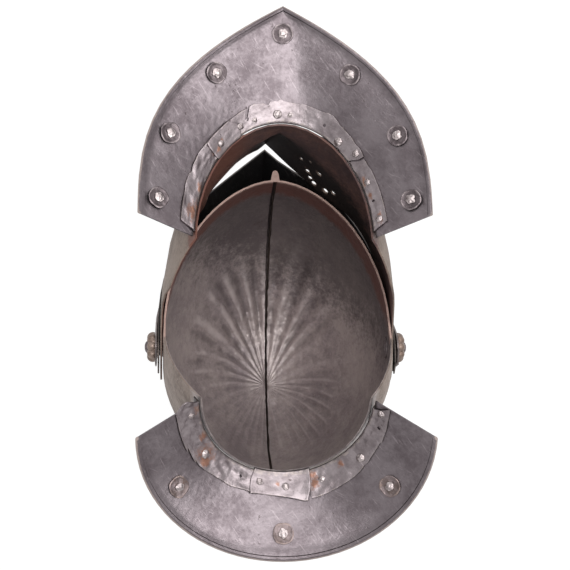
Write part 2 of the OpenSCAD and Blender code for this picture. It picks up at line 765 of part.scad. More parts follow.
skull();
bevor();
ventail();
visor();
rear_gorget_plate();
front_gorget_plate();
rear_neck_band_left();
rear_neck_band_right();
rear_neck_band_patch();
front_neck_band_left();
front_neck_band_centre();
front_neck_band_right();
front_neck_band_patch();
rear_gorget_rivets();
rear_gorget_washers();
front_gorget_rivets();
front_gorget_washers();
rear_band_rivets();
front_band_rivets();
left_pivot_rivet();
right_pivot_rivet();
left_rosette();
right_rosette();
left_pivot_washer();
right_pivot_washer();
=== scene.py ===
"""Looks of a close helmet, seen from below with its face pieces lifted."""

import json
import logging
import math
from contextlib import contextmanager
from dataclasses import dataclass
from enum import Enum
from typing import ClassVar, Iterator, Sequence

import bpy
import numpy as np
from mathutils import Matrix, Vector, noise

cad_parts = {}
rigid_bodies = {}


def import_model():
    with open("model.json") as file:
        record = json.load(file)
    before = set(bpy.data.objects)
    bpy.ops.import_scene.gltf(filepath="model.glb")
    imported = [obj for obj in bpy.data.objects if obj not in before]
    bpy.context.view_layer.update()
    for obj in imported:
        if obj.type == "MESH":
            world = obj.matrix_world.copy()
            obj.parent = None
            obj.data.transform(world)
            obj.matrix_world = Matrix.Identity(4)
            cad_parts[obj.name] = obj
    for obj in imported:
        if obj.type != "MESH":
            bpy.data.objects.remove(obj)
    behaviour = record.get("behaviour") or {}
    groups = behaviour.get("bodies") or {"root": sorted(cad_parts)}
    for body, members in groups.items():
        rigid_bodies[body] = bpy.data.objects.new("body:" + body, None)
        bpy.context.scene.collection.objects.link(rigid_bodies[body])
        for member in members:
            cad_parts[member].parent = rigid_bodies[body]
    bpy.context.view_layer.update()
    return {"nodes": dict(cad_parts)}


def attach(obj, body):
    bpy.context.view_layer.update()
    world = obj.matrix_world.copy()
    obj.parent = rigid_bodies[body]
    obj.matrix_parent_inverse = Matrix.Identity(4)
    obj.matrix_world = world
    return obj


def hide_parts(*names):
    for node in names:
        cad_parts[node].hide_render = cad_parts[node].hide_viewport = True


log = logging.getLogger("helmet")

MM = 0.001
Pair = tuple[float, float]
Pairs = tuple[Pair, ...]
Place = tuple[float, float, float]
Places = tuple[Place, ...]
Colour = Place
Array = np.ndarray
Piece = bpy.types.Object
Finish = bpy.types.Material


def srgb(text: str) -> Colour:
    """Turn six hexadecimal digits into scene-linear red, green and blue."""
    channels = [int(text[i:i + 2], 16) / 255 for i in (0, 2, 4)]
    return tuple(c / 12.92 if c < 0.04045 else ((c + 0.055) / 1.055) ** 2.4 for c in channels)


def ramp(x: Array, low: float, high: float) -> Array:
    """Map low to high onto 0 to 1, smoothly and clamped."""
    t = np.clip((x - low) / (high - low), 0, 1)
    return t * t * (3 - 2 * t)


def bell(x: Array, middle: float, width: float) -> Array:
    """Return a bump of height 1 at the middle."""
    return np.exp(-(((x - middle) / width) ** 2))


def uneven(x: "Array | float", y: "Array | float", z: "Array | float") -> Array:
    """Return smooth noise, from about -1 to 1, at the places with these coordinates."""
    return np.array([noise.noise(Vector(place)) for place in np.broadcast(x, y, z)])


class Body(Enum):
    """The bodies that move on their own."""

    SKULL = "skull_body"
    BEVOR = "bevor_body"
    VENTAIL = "ventail_body"
    VISOR = "visor_body"


class Slot(Enum):
    """The record's material slots."""

    STEEL = "steel"
    DARK = "dark_steel"
    BAND = "band_steel"
    RIVET = "rivet_steel"
    RUSTY = "rusty_steel"


class Wire:
    """A shader socket that takes part in Python arithmetic."""

    def __init__(self, recipe: "Recipe", socket: bpy.types.NodeSocket) -> None:
        """Keep the socket and the recipe it belongs to."""
        self.recipe = recipe
        self.socket = socket

    def math(self, operation: str, *values: "Wire | float") -> "Wire":
        """Add a Math node that works on the values alone, in order, and return its result."""
        return self.recipe.node("ShaderNodeMath", {"operation": operation}, dict(enumerate(values)))

    def __add__(self, other: "Wire | float") -> "Wire":
        """Add."""
        return self.math("ADD", self, other)

    def __radd__(self, other: float) -> "Wire":
        """Add, reflected."""
        return self.math("ADD", other, self)

    def __sub__(self, other: "Wire | float") -> "Wire":
        """Subtract."""
        return self.math("SUBTRACT", self, other)

    def __rsub__(self, other: float) -> "Wire":
        """Subtract, reflected."""
        return self.math("SUBTRACT", other, self)

    def __mul__(self, other: "Wire | float") -> "Wire":
        """Multiply."""
        return self.math("MULTIPLY", self, other)

    def __rmul__(self, other: float) -> "Wire":
        """Multiply, reflected."""
        return self.math("MULTIPLY", other, self)

    def band(self, low: float, high: float) -> "Wire":
        """Map the range from low to high onto 0 to 1, smoothly and clamped."""
        settings = {"interpolation_type": "SMOOTHSTEP"}
        return self.recipe.node("ShaderNodeMapRange", settings, {"Value": self, 1: low, 2: high})


class Recipe:
    """The node tree of one material or world."""

    def __init__(self, owner: "Finish | bpy.types.World") -> None:
        """Empty the owner's tree."""
        owner.use_nodes = True
        self.tree = owner.node_tree
        self.tree.nodes.clear()

    def node(self, kind: str, settings: dict, inputs: dict, output: "int | str" = 0) -> Wire:
        """Add a node.

        Args:
            kind: Type of the node.
            settings: Its settings, made first.
            inputs: Values or wires by input name or number.
            output: Name or number of the output that is wanted.

        Returns:
            The wanted output.
        """
        node = self.tree.nodes.new(kind)
        for name, value in settings.items():
            setattr(node, name, value)
        for name, value in inputs.items():
            if isinstance(value, Wire):
                self.tree.links.new(value.socket, node.inputs[name])
            elif isinstance(value, tuple) and len(value) == 3 and node.inputs[name].type == "RGBA":
                node.inputs[name].default_value = (*value, 1.0)
            else:
                node.inputs[name].default_value = value
        return Wire(self, node.outputs[output])

    def place(self) -> Wire:
        """Return the object coordinates."""
        return self.node("ShaderNodeTexCoord", {}, {}, "Object")

    def stretched(self, scale: Place, turn: Place = (0.0, 0.0, 0.0)) -> Wire:
        """Return the object coordinates, turned and then scaled."""
        turned = self.node("ShaderNodeMapping", {}, {"Vector": self.place(), "Rotation": turn})
        return self.node("ShaderNodeMapping", {}, {"Vector": turned, "Scale": scale})

    def attribute(self, name: str) -> Wire:
        """Return an amount that was painted on the piece."""
        return self.node("ShaderNodeAttribute", {"attribute_name": name}, {}, "Fac")

    def noise(self, size: float, detail: float = 3.0, rough: float = 0.55, at: "Wire | None" = None) -> Wire:
        """Add noise with features of a size in millimetres, about 0.5 on average."""
        inputs = {"Vector": at or self.place(), "Scale": 1000 / size, "Detail": detail, "Roughness": rough}
        return self.node("ShaderNodeTexNoise", {}, inputs)

    def mix(self, share: "Wire | float", a: "Wire | Colour", b: "Wire | Colour") -> Wire:
        """Mix two colours by the share of the second one."""
        return self.node("ShaderNodeMix", {"data_type": "RGBA"}, {"Factor": share, 6: a, 7: b}, 2)

    def finish(self, surface: Wire, output: str = "ShaderNodeOutputMaterial") -> None:
        """Connect the shader to the output."""
        node = self.tree.nodes.new(output)
        self.tree.links.new(surface.socket, node.inputs["Surface"])


@dataclass(frozen=True)
class Flutes:
    """The flutes hammered round the pole of the skull. Millimetres and radians.

    Each stretch where they are longer or bolder is its amount, its middle and its width in degrees.
    """

    pole: Place = (0.0, 77.0, 137.0)
    count: float = 31.0
    phase: float = -0.6
    reach: float = 112.0
    longer: Places = ((16.0, -20.0, 28.0), (34.0, 14.0, 18.0))
    bold: float = 0.42
    bolder: Places = ((0.75, -36.0, 42.0), (0.45, 20.0, 20.0), (0.2, 90.0, 30.0))
    bends: Places = ((0.045, 3.0, 0.7), (0.026, 7.0, 2.1))

    def turn(self, points: Array) -> Array:
        """Return the angles of points round the pole."""
        return np.arctan2(points[:, 0] - self.pole[0], self.pole[1] - points[:, 1])

    def wave(self, points: Array) -> Array:
        """Return the flutes at points, from -1 in the grooves to 1 on the ridges."""
        turn = self.turn(points)
        phase = turn * self.count + self.phase
        for amount, rate, start in self.bends:
            phase = phase + np.sin(turn * rate + start) * amount * self.count
        return np.cos(phase)

    def strength(self, points: Array) -> Array:
        """Return how bold the flutes are at points, from 0 to 1."""
        away = np.linalg.norm(points - self.pole, axis=1)
        turn = np.degrees(self.turn(points))
        reach = self.reach + sum(more * bell(turn, middle, width) for more, middle, width in self.longer)
        fade = ramp(reach - away, 0, 34) * (0.22 * ramp(away, 2, 12) + 0.78 * ramp(away, 14, 50))
        bold = self.bold + sum(more * bell(turn, middle, width) for more, middle, width in self.bolder)
        return np.clip(fade * bold, 0, 1) * ramp(points[:, 2], -60, 10)


FLUTES = Flutes()


@dataclass(frozen=True)
class OldSteel:
    """Hand-hammered steel, worn bright in places and brown in others.

    Lengths are in millimetres. The shares and strengths go from 0 to 1. A lining is the pair of
    colours of the side that faces the head, a stain the name of a painted amount, its colour and
    its strength.
    """

    name: str
    bare: str = "7b7275"
    dull: str = "635b5e"
    brown: str = "4d372f"
    scratch: str = "a89ea1"
    spot: str = "33251f"
    # fleck is the colour of painted glints, light flecks that stand in for the sparkle of pebbly steel
    fleck: str = "b9adab"
    # ridge and groove colour the flutes: painted highlight on their ridges, painted shade in their grooves
    ridge: str = "c2b7b5"
    groove: str = "433a3b"
    brown_share: float = 0.0
    metal: float = 0.95
    patch: float = 60.0
    middle: float = 9.0
    fine: float = 2.6
    rough: Pair = (0.40, 0.56)
    hammer: float = 0.10
    dent: float = 14.0
    grain: float = 0.05
    relief: float = 2.2
    scratches: float = 0.35
    spots: float = 0.25
    speckle: float = 0.0
    lining: tuple[str, str] | None = None
    lining_metal: float = 0.5
    lining_polish: float = 0.0
    fluted: bool = False
    stains: tuple[tuple[str, str, float], ...] = ()

    def material(self) -> Finish:
        """Build the material.

        Returns:
            The finished material.
        """
        material = bpy.data.materials.new(self.name + "_steel")
        r = Recipe(material)
        broad = r.noise(self.patch, 3.0, 0.5)
        fine = r.noise(self.fine, 5.0, 0.65)
        middle = r.noise(self.middle, 4.0, 0.6)
        dull = (broad * 0.45 + middle * 0.3 + fine * 0.25).band(0.37, 0.63)
        colour = r.mix(dull, srgb(self.bare), srgb(self.dull))
        metal, polish = self.metal, 0.0
        if self.lining:
            inside = r.attribute("inside")
            colour = r.mix(inside, colour, r.mix(dull, srgb(self.lining[0]), srgb(self.lining[1])))
            metal = inside * (self.lining_metal - self.metal) + self.metal
            polish = inside * self.lining_polish
        scuffs = self.scuffs(r)
        clean = 0.72 - self.brown_share * 0.4
        stain = (r.noise(30, 5.0, 0.7) * 0.8 + fine * 0.2).band(clean, clean + 0.12)
        spots = r.noise(3.4, 3.0, 0.6).band(0.64, 0.73) * r.noise(24, 2.0).band(0.45, 0.62)
        rust = stain * 0.6 + spots * 0.5
        layers = [
            (scuffs, self.scratches, self.scratch), (stain, 0.75, self.brown), (spots, self.spots, self.spot)
        ]
        # painted glints: light flecks that stand in for the sparkle of pebbly steel
        if self.speckle:
            layers.append((r.noise(1.7, 2.0, 0.5).band(0.62, 0.72), self.speckle, self.fleck))
        if self.fluted:
            wave = self.flutes(r)
            # painted highlight on the flute ridges and painted shade in their grooves
            layers.append((wave.band(0.1, 1.0), 0.6, self.ridge))
            layers.append(((wave * -1.0).band(0.1, 1.0), 0.55, self.groove))
        for painted, tint, strength in self.stains:
            ragged = (r.attribute(painted) + (middle - 0.5) * 0.8 + (fine - 0.5) * 0.9).band(0.2, 0.85)
            layers.append((ragged, strength, tint))
            rust = rust + ragged * (0.4 * strength)
        for mask, strength, tint in layers:
            colour = r.mix(mask * strength, colour, srgb(tint))
        rough = (dull * 0.35 + rust * 0.3 + fine * 0.45).band(0.05, 0.95) * (self.rough[1] - self.rough[0])
        height = self.dents(r) + middle * (self.grain * 1.4) + fine * self.grain - spots * 0.06 - scuffs * 0.01
        if self.fluted:
            height = height + wave * 0.4
        bump = r.node("ShaderNodeBump", {}, {"Strength": 1.0, "Distance": self.relief * MM, "Height": height})
        inputs = {
            "Base Color": colour,
            "Metallic": (1 - rust * 0.45) * metal,
            "Roughness": rough + self.rough[0] - polish,
            "Normal": bump,
        }
        r.finish(r.node("ShaderNodeBsdfPrincipled", {}, inputs))
        return material

    def flutes(self, r: Recipe) -> Wire:
        """Return the flutes round the skull's pole, from -1 in the grooves to 1 on the ridges."""
        parts = r.tree.nodes.new("ShaderNodeSeparateXYZ")
        r.tree.links.new(r.place().socket, parts.inputs[0])
        x, y = (Wire(r, parts.outputs[i]) for i in (0, 1))
        turn = x.math("ARCTAN2", x - FLUTES.pole[0] * MM, FLUTES.pole[1] * MM - y)
        phase = turn * FLUTES.count + FLUTES.phase + (r.noise(34, 3.0, 0.6) - 0.5) * 2.4
        for amount, rate, start in FLUTES.bends:
            phase = phase + turn.math("SINE", turn * rate + start) * (amount * FLUTES.count)
        return turn.math("COSINE", phase) * r.attribute("flute") * r.noise(22, 3.0, 0.6).band(0.25, 0.62)

    def dents(self, r: Recipe) -> Wire:
        """Return the height of the hammer marks."""
        inputs = {"Vector": r.place(), "Scale": 1000 / self.dent, "Smoothness": 0.9, "Randomness": 1.0}
        return r.node("ShaderNodeTexVoronoi", {"feature": "SMOOTH_F1"}, inputs) * self.hammer

    def scuffs(self, r: Recipe) -> Wire:
        """Return a mask of fine scratches in two crossing directions."""
        one = r.noise(1000, 2.0, 0.5, r.stretched((900, 60, 60), (0.3, 0.2, 0.6)))
        two = r.noise(1000, 2.0, 0.5, r.stretched((60, 1100, 60), (0.1, 0.4, -0.5)))
        return one.band(0.62, 0.74) * 0.7 + two.band(0.64, 0.75) * 0.6


WORN = ("worn", "a99a94", 0.8)
STEELS = (
    OldSteel(
        "plate", bare="736b6e", dull="585053", brown="54423b", brown_share=0.1, rough=(0.28, 0.46),
        patch=40.0, hammer=0.07, dent=18.0, grain=0.07, scratches=0.4, spots=0.4, stains=(WORN,
        ("shade", "1f1816", 0.92)),
    ),
    OldSteel(
        "skull", bare="87786f", dull="63564e", brown="5a473d", brown_share=0.28, metal=0.45, dent=5.0,
        hammer=0.2, grain=0.09, rough=(0.56, 0.75), lining=("a69b98", "84797a"), lining_metal=0.45,
        # painted shade darkens the skull's lining toward the brow and at the rear plate's neck edge
        lining_polish=0.18, scratches=0.12, speckle=0.35, fluted=True, stains=(("painted_shade", "383132", 0.62),
        # rim is a painted highlight along the brow's cut edge
        ("patina", "6a3f35", 0.8), ("rim", "b3988e", 0.9)),
    ),
    OldSteel(
        "bevor", bare="84756b", dull="5d5048", brown="4f3e34", brown_share=0.3, metal=0.35, rough=(0.6, 0.78),
        lining=("6d5048", "423334"), lining_metal=0.35, lining_polish=0.1, scratches=0.1,
        # painted shadow: near-black on the lining high up, where it lies in shadow
        stains=(("patina", "6b4032", 0.6), ("painted_shade", "0d0b0d", 0.92)),
    ),
    OldSteel(
        "inner", bare="7b7071", dull="5b5253", brown="4a352c", brown_share=0.3, patch=10.0, dent=4.0,
        hammer=0.15, metal=0.6, rough=(0.55, 0.75),
    ),
    OldSteel(
        "ventail", bare="6d625c", dull="463e3a", brown="4a352c", brown_share=0.3, metal=0.5,
        # the near-black lining is painted shade, for the inner side that lies in shadow
        rough=(0.5, 0.68), lining=("1c1a1b", "111011"), lining_metal=0.3, scratches=0.15,
    ),
    OldSteel(
        "visor", bare="7d7472", dull="5f5654", brown_share=0.2, rough=(0.3, 0.46), stains=(WORN,),
    ),
    OldSteel(
        "band", bare="8b8284", dull="6f6668", brown="5f4a41", brown_share=0.14, patch=14.0, spots=0.6,
        metal=0.9, hammer=0.2, dent=8.0, grain=0.09, rough=(0.27, 0.46), scratches=0.3,
        stains=(("rust", "7c5644", 0.85), ("worn", "a0958f", 0.5), ("shade", "2a2220", 0.92)),
    ),
    OldSteel(
        "rivet", bare="a89e9d", dull="857b7b", brown="6a534a", brown_share=0.1, patch=6.0, dent=3.0,
        hammer=0.2, metal=0.85, rough=(0.28, 0.45),
    ),
    OldSteel(
        "washer", bare="5f5658", dull="473f41", brown="46362f", brown_share=0.3, patch=9.0, dent=4.0,
        hammer=0.25, grain=0.12, metal=0.85, rough=(0.33, 0.55), stains=(("worn", "94898a", 0.6),),
    ),
    OldSteel(
        "rusty", bare="75696a", dull="5a4e4b", brown="5c4338", brown_share=0.4, patch=9.0, dent=4.0,
        hammer=0.25, grain=0.12, rough=(0.36, 0.6), metal=0.75, stains=(("worn", "93827c", 0.5),),
    ),
    OldSteel(
        "rosette", bare="8f7f76", dull="6a5950", brown="4f3a30", brown_share=0.35, patch=6.0, dent=4.0,
        metal=0.75,
    ),
)
Finishes = dict[str, Finish]


class Bench:
    """The maker's bench: copies, cuts, joins and shades pieces."""

    @staticmethod
    def pick(*pieces: Piece) -> None:
        """Make these pieces the only selected ones, and the first of them the active one."""
        bpy.ops.object.select_all(action="DESELECT")
        for piece in pieces:
            piece.select_set(True)
        if pieces:
            bpy.context.view_layer.objects.active = pieces[0]

    @classmethod
    @contextmanager
    def editing(cls, piece: Piece, every: bool = True) -> Iterator[None]:
        """Open a piece for editing, with everything selected unless told otherwise, and close it again."""
        cls.pick(piece)
        bpy.ops.object.mode_set(mode="EDIT")
        if every:
            bpy.ops.mesh.select_all(action="SELECT")
        else:
            bpy.ops.mesh.select_mode(type="FACE")
        yield
        bpy.ops.object.mode_set(mode="OBJECT")

    @staticmethod
    def choose(piece: Piece, faces: Array) -> None:
        """Select these faces of a piece and nothing else of it."""
        mesh = piece.data
        for other in (mesh.vertices, mesh.edges):
            other.foreach_set("select", np.zeros(len(other), dtype=bool))
        mesh.polygons.foreach_set("select", faces)

    @classmethod
    def copy_of(cls, node: str, ending: str) -> Piece:
        """Copy a CAD node's mesh into a new piece with its loose triangles merged.

        Args:
            node: Name of the CAD node.
            ending: What the piece's name has after it.

        Returns:
            The new piece.
        """
        mesh = bpy.data.objects[node].data.copy()
        mesh.materials.clear()
        piece = bpy.data.objects.new(node + ending, mesh)
        bpy.context.scene.collection.objects.link(piece)
        cls.pick(piece)
        bpy.ops.mesh.customdata_custom_splitnormals_clear()
        with cls.editing(piece):
            bpy.ops.mesh.remove_doubles(threshold=0.01 * MM)
        return piece

    @classmethod
    def smooth(cls, piece: Piece, angle: float) -> None:
        """Shade a piece smooth wherever its faces meet at less than an angle."""
        cls.pick(piece)
        bpy.ops.object.shade_smooth_by_angle(angle=math.radians(angle))

    @classmethod
    def split(cls, piece: Piece, cuts: int) -> None:
        """Subdivide all faces of a piece flatly."""
        with cls.editing(piece):
            bpy.ops.mesh.subdivide(number_cuts=cuts)

    @classmethod
    def modify(cls, piece: Piece, kind: str, **settings: object) -> None:
        """Add a modifier with its settings and apply it."""
        cls.pick(piece)
        modifier = piece.modifiers.new(kind.title(), kind)
        for name, value in settings.items():
            setattr(modifier, name, value)
        bpy.ops.object.modifier_apply(modifier=modifier.name)

    @classmethod
    def drill(cls, piece: Piece, place: Vector, axis: Vector, radius: float, depth: float) -> None:
        """Drill a hole into a piece.

        Args:
            piece: The piece.
            place: Middle of the hole in metres.
            axis: Direction of the hole.
            radius: Its radius in millimetres.
            depth: Length of the drill in millimetres.
        """
        cls.pick()
        bpy.ops.mesh.primitive_cylinder_add(
            vertices=20, radius=radius * MM, depth=depth * MM, location=place,
            rotation=axis.to_track_quat("Z", "Y").to_euler(),
        )
        drill = bpy.context.object
        cls.modify(piece, "BOOLEAN", object=drill, operation="DIFFERENCE", solver="EXACT")
        bpy.data.objects.remove(drill)

    @classmethod
    def join(cls, pieces: Sequence[Piece], name: str) -> Piece:
        """Join pieces into the first one and name it."""
        cls.pick(*pieces)
        bpy.ops.object.join()
        pieces[0].name = name
        return pieces[0]

    @classmethod
    def parts_of(cls, node: str) -> list[Piece]:
        """Copy a CAD node and part the copy into its separate solids."""
        piece = cls.copy_of(node, "_part")
        before = set(bpy.data.objects)
        with cls.editing(piece):
            bpy.ops.mesh.separate(type="LOOSE")
        return [piece] + [o for o in bpy.data.objects if o not in before]

    @staticmethod
    def points(piece: Piece) -> Array:
        """Return the points of a piece in rows of three."""
        points = np.empty(len(piece.data.vertices) * 3)
        piece.data.vertices.foreach_get("co", points)
        return points.reshape(-1, 3)

    @staticmethod
    def inwards(piece: Piece, away: Array) -> Array:
        """Return how far each point's normal turns against its outward direction, from -1 to 1."""
        normals = np.array([n.vector[:] for n in piece.data.vertex_normals])
        return -(normals * away).sum(1)

    @staticmethod
    def place_points(piece: Piece, points: Array) -> None:
        """Put the points of a piece at new places."""
        piece.data.vertices.foreach_set("co", np.asarray(points, float).ravel())
        piece.data.update()

    @staticmethod
    def paint(piece: Piece, name: str, amounts: Array) -> None:
        """Keep an amount from 0 to 1 for each point, for the finishes to read."""
        layer = piece.data.attributes.new(name, "FLOAT", "POINT")
        layer.data.foreach_set("value", np.clip(amounts, 0, 1).astype(np.float32))


def swing(angle: float, points: Array) -> Array:
    """Lift points by an angle in degrees about the pivot axis, as the bevor is lifted."""
    c, s = math.cos(math.radians(-angle)), math.sin(math.radians(-angle))
    return points @ np.array([[1, 0, 0], [0, c, s], [0, -s, c]])


def nearest(points: Array, line: Array) -> tuple[Array, Array]:
    """Return the distance from each point to the nearest point of a line, and that one's number."""
    pairs = []
    for point in points:
        away = np.linalg.norm(line - point, axis=1)
        pairs.append((away.min(), away.argmin()))
    distances, numbers = np.array(pairs).T
    return distances, numbers.astype(int)


@dataclass
class Part:
    """A piece that is shown in place of a CAD node.

    Its faces are shaded smooth wherever they meet at less than the crease, in degrees.
    """

    crease: ClassVar[float] = 45.0
    node: str
    body: Body
    slot: Slot

    def shape(self) -> Piece:
        """Model the piece."""
        raise NotImplementedError

    def build(self, finish: Finish) -> None:
        """Model the piece, dress it and put it in place of its CAD node.

        Args:
            finish: Its material.
        """
        piece = self.shape()
        Bench.smooth(piece, self.crease)
        piece.data.materials.clear()
        piece.data.materials.append(finish)
        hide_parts(self.node)
        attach(piece, self.body.value)
        log.info("%s: %d faces", piece.name, len(piece.data.polygons))


@dataclass
class GorgetFrame:
    """Places on a gorget plate, from the same sizes as its solid. Millimetres."""

    front: bool
    neck: Pair = (2.0, -129.0)
    side: float = 65.5
    reach: float = -71.0
    drop: float = 26.0
    stand: float = -2.0
    corner: Pair = (-23.0, -148.5)
    tip: Pair = (-128.0, -141.0)
    half_width: float = 114.0
    curve: Pair = (1.0, 1.0)
    room: float = 2.5
    opened: float = 0.0

    def inner(self, s: "Array | float") -> Array:
        """Return the inner edge's points at angles."""
        a = np.radians(s)
        reach = self.reach + math.copysign(self.room - 2, self.reach)
        x, y = (self.side + self.room) * np.sin(a), -(self.neck[0] + self.stand + reach * np.cos(a))
        return np.stack([x, y, self.neck[1] + self.drop * np.cos(a)], axis=-1)

    def outer(self, s: "Array | float") -> Array:
        """Return the outer edge's points at angles."""
        a = np.radians(s)
        g = np.maximum(0.0, np.cos(a)) ** self.curve[1]
        x = self.half_width * np.copysign(np.abs(np.sin(a)) ** self.curve[0], s)
        y, z = (low + (high - low) * g for low, high in zip(self.corner, self.tip))
        return np.stack([x, -y, z], axis=-1)

    def length(self, s: "Array | float") -> Array:
        """Return the distances from the inner to the outer edge at angles."""
        return np.linalg.norm(self.outer(s) - self.inner(s), axis=-1)

    def axes(self, s: "Array | float") -> tuple[Array, Array]:
        """Return the unit vectors outwards and down through the plate at angles."""
        out = (self.outer(s) - self.inner(s)) / self.length(s)[..., None]
        down = np.cross(self.inner(s + 1) - self.inner(s - 1), out) * (1 if self.front else -1)
        return out, down / np.linalg.norm(down, axis=-1, keepdims=True)

    def point(self, s: "Array | float", d: "Array | float", n: "Array | float") -> Array:
        """Return the points at angles, distances outwards and distances below the upper side."""
        out, down = self.axes(s)
        return self.inner(s) + out * np.asarray(d)[..., None] + down * np.asarray(n)[..., None]

    def near_neck(self, points: Array, reach: float = 12.0) -> Array:
        """Return how close points at rest, in millimetres, lie to the neck edge, from 0 to 1."""
        away, _ = nearest(points, self.to_rest(self.inner(ROUND)) / MM)
        return ramp(-away, -reach, -reach * 0.7)

    def to_rest(self, points: Array) -> Array:
        """Return points in metres, lifted with the plate to where it is at rest."""
        return swing(self.opened, points) * MM


ROUND = np.linspace(-90, 90, 181)
REAR = GorgetFrame(front=False)
FRONT = GorgetFrame(
    front=True, side=69.0, reach=99.0, drop=-30.0, stand=2.0, corner=(7.0, -152.0), tip=(165.0, -227.0),
    curve=(2.0, 0.7), opened=57.7,
)


@dataclass
class SkullPiece(Part):
    """Skull with its comb and the flutes hammered round the pole inside it. Millimetres."""

    flute_depth: float = 0.9
    flute_cuts: int = 5
    brow: Pair = (130.0, 59.0)
    cheek: Pair = (19.0, -12.0)
    stain: Pair = (22.0, 44.0)
    # depths behind the brow edge of the painted highlight along it
    rim: Pair = (0.5, 1.1)
    groove: float = 2.3
    middle: Place = (0.0, 10.0, 0.0)

    def shape(self) -> Piece:
        """Model the skull.

        Returns:
            The finished piece.
        """
        piece = Bench.copy_of(self.node, "_shell")
        self.refine(piece)
        points = Bench.points(piece) / MM
        away = self.outwards(points)
        normals = np.array([n.vector[:] for n in piece.data.vertex_normals])
        inside = ramp(Bench.inwards(piece, away), 0.0, 0.4)
        strength = FLUTES.strength(points) * inside
        coarse = ramp(np.linalg.norm(points - FLUTES.pole, axis=1), 40, 62)
        depth = (0.2 + FLUTES.wave(points)) * strength * coarse * self.flute_depth
        points = points - away * depth[:, None]
        groove = (np.abs(points[:, 0]) < self.groove) & (normals[:, 0] * np.sign(points[:, 0]) < -0.2)
        ragged = uneven(points[groove, 0] * 0.4, points[groove, 1] * 0.22, 3.0)
        narrow = 0.12 + 0.36 * ramp(points[groove, 1], -50, 50)
        points[groove, 0] *= 1 - np.clip(narrow + 0.45 * ragged, -0.1, 0.7)
        Bench.place_points(piece, points * MM)
        inside = np.maximum(inside, REAR.near_neck(points) * ramp(points[:, 1], -20, 10))
        behind = self.behind_rim(points)
        front = ramp(-points[:, 1], 5, 40)
        Bench.paint(piece, "inside", inside)
        Bench.paint(piece, "flute", strength)
        # painted shade: the lining darker toward the brow and the wearer's left, and at the rear plate's neck
        # edge
        painted_shade = inside * ramp(0.4 * points[:, 0] - points[:, 1], -30, 85)
        Bench.paint(piece, "painted_shade", np.maximum(painted_shade, REAR.near_neck(points, 5.0)))
        Bench.paint(piece, "patina", ramp(-behind, -self.stain[1], -self.stain[0]) * inside * front)
        # painted highlight: a light pinkish line along the brow's cut edge
        Bench.paint(piece, "rim", ramp(-behind, -self.rim[1], -self.rim[0]))
        return piece

    @staticmethod
    def outwards(points: Array) -> Array:
        """Return the directions from the middle of the head to points."""
        away = points - SkullPiece.middle
        return away / np.linalg.norm(away, axis=1, keepdims=True)

    def refine(self, piece: Piece) -> None:
        """Subdivide the skull, the fluted inner side most.

        Args:
            piece: The skull.
        """
        mesh = piece.data
        middles = np.array([f.center[:] for f in mesh.polygons]) / MM
        facing = (np.array([f.normal[:] for f in mesh.polygons]) * self.outwards(middles)).sum(1)
        fluted = (facing < 0) & (FLUTES.strength(middles) > 0.02)
        Bench.choose(piece, fluted)
        with Bench.editing(piece, every=False):
            bpy.ops.mesh.subdivide(number_cuts=self.flute_cuts)
            bpy.ops.mesh.hide()
            bpy.ops.mesh.select_all(action="SELECT")
            bpy.ops.mesh.subdivide(number_cuts=1)
            bpy.ops.mesh.reveal()

    def behind_rim(self, points: Array) -> Array:
        """Return how far points lie behind the straight edge from the cheek to the brow."""
        edge = np.array([self.brow[0] - self.cheek[0], self.brow[1] - self.cheek[1]])
        edge /= np.linalg.norm(edge)
        forward, up = -points[:, 1] - self.cheek[0], points[:, 2] - self.cheek[1]
        distance = up * edge[0] - forward * edge[1]
        return np.where(forward * edge[0] + up * edge[1] < -12, 90.0, distance)


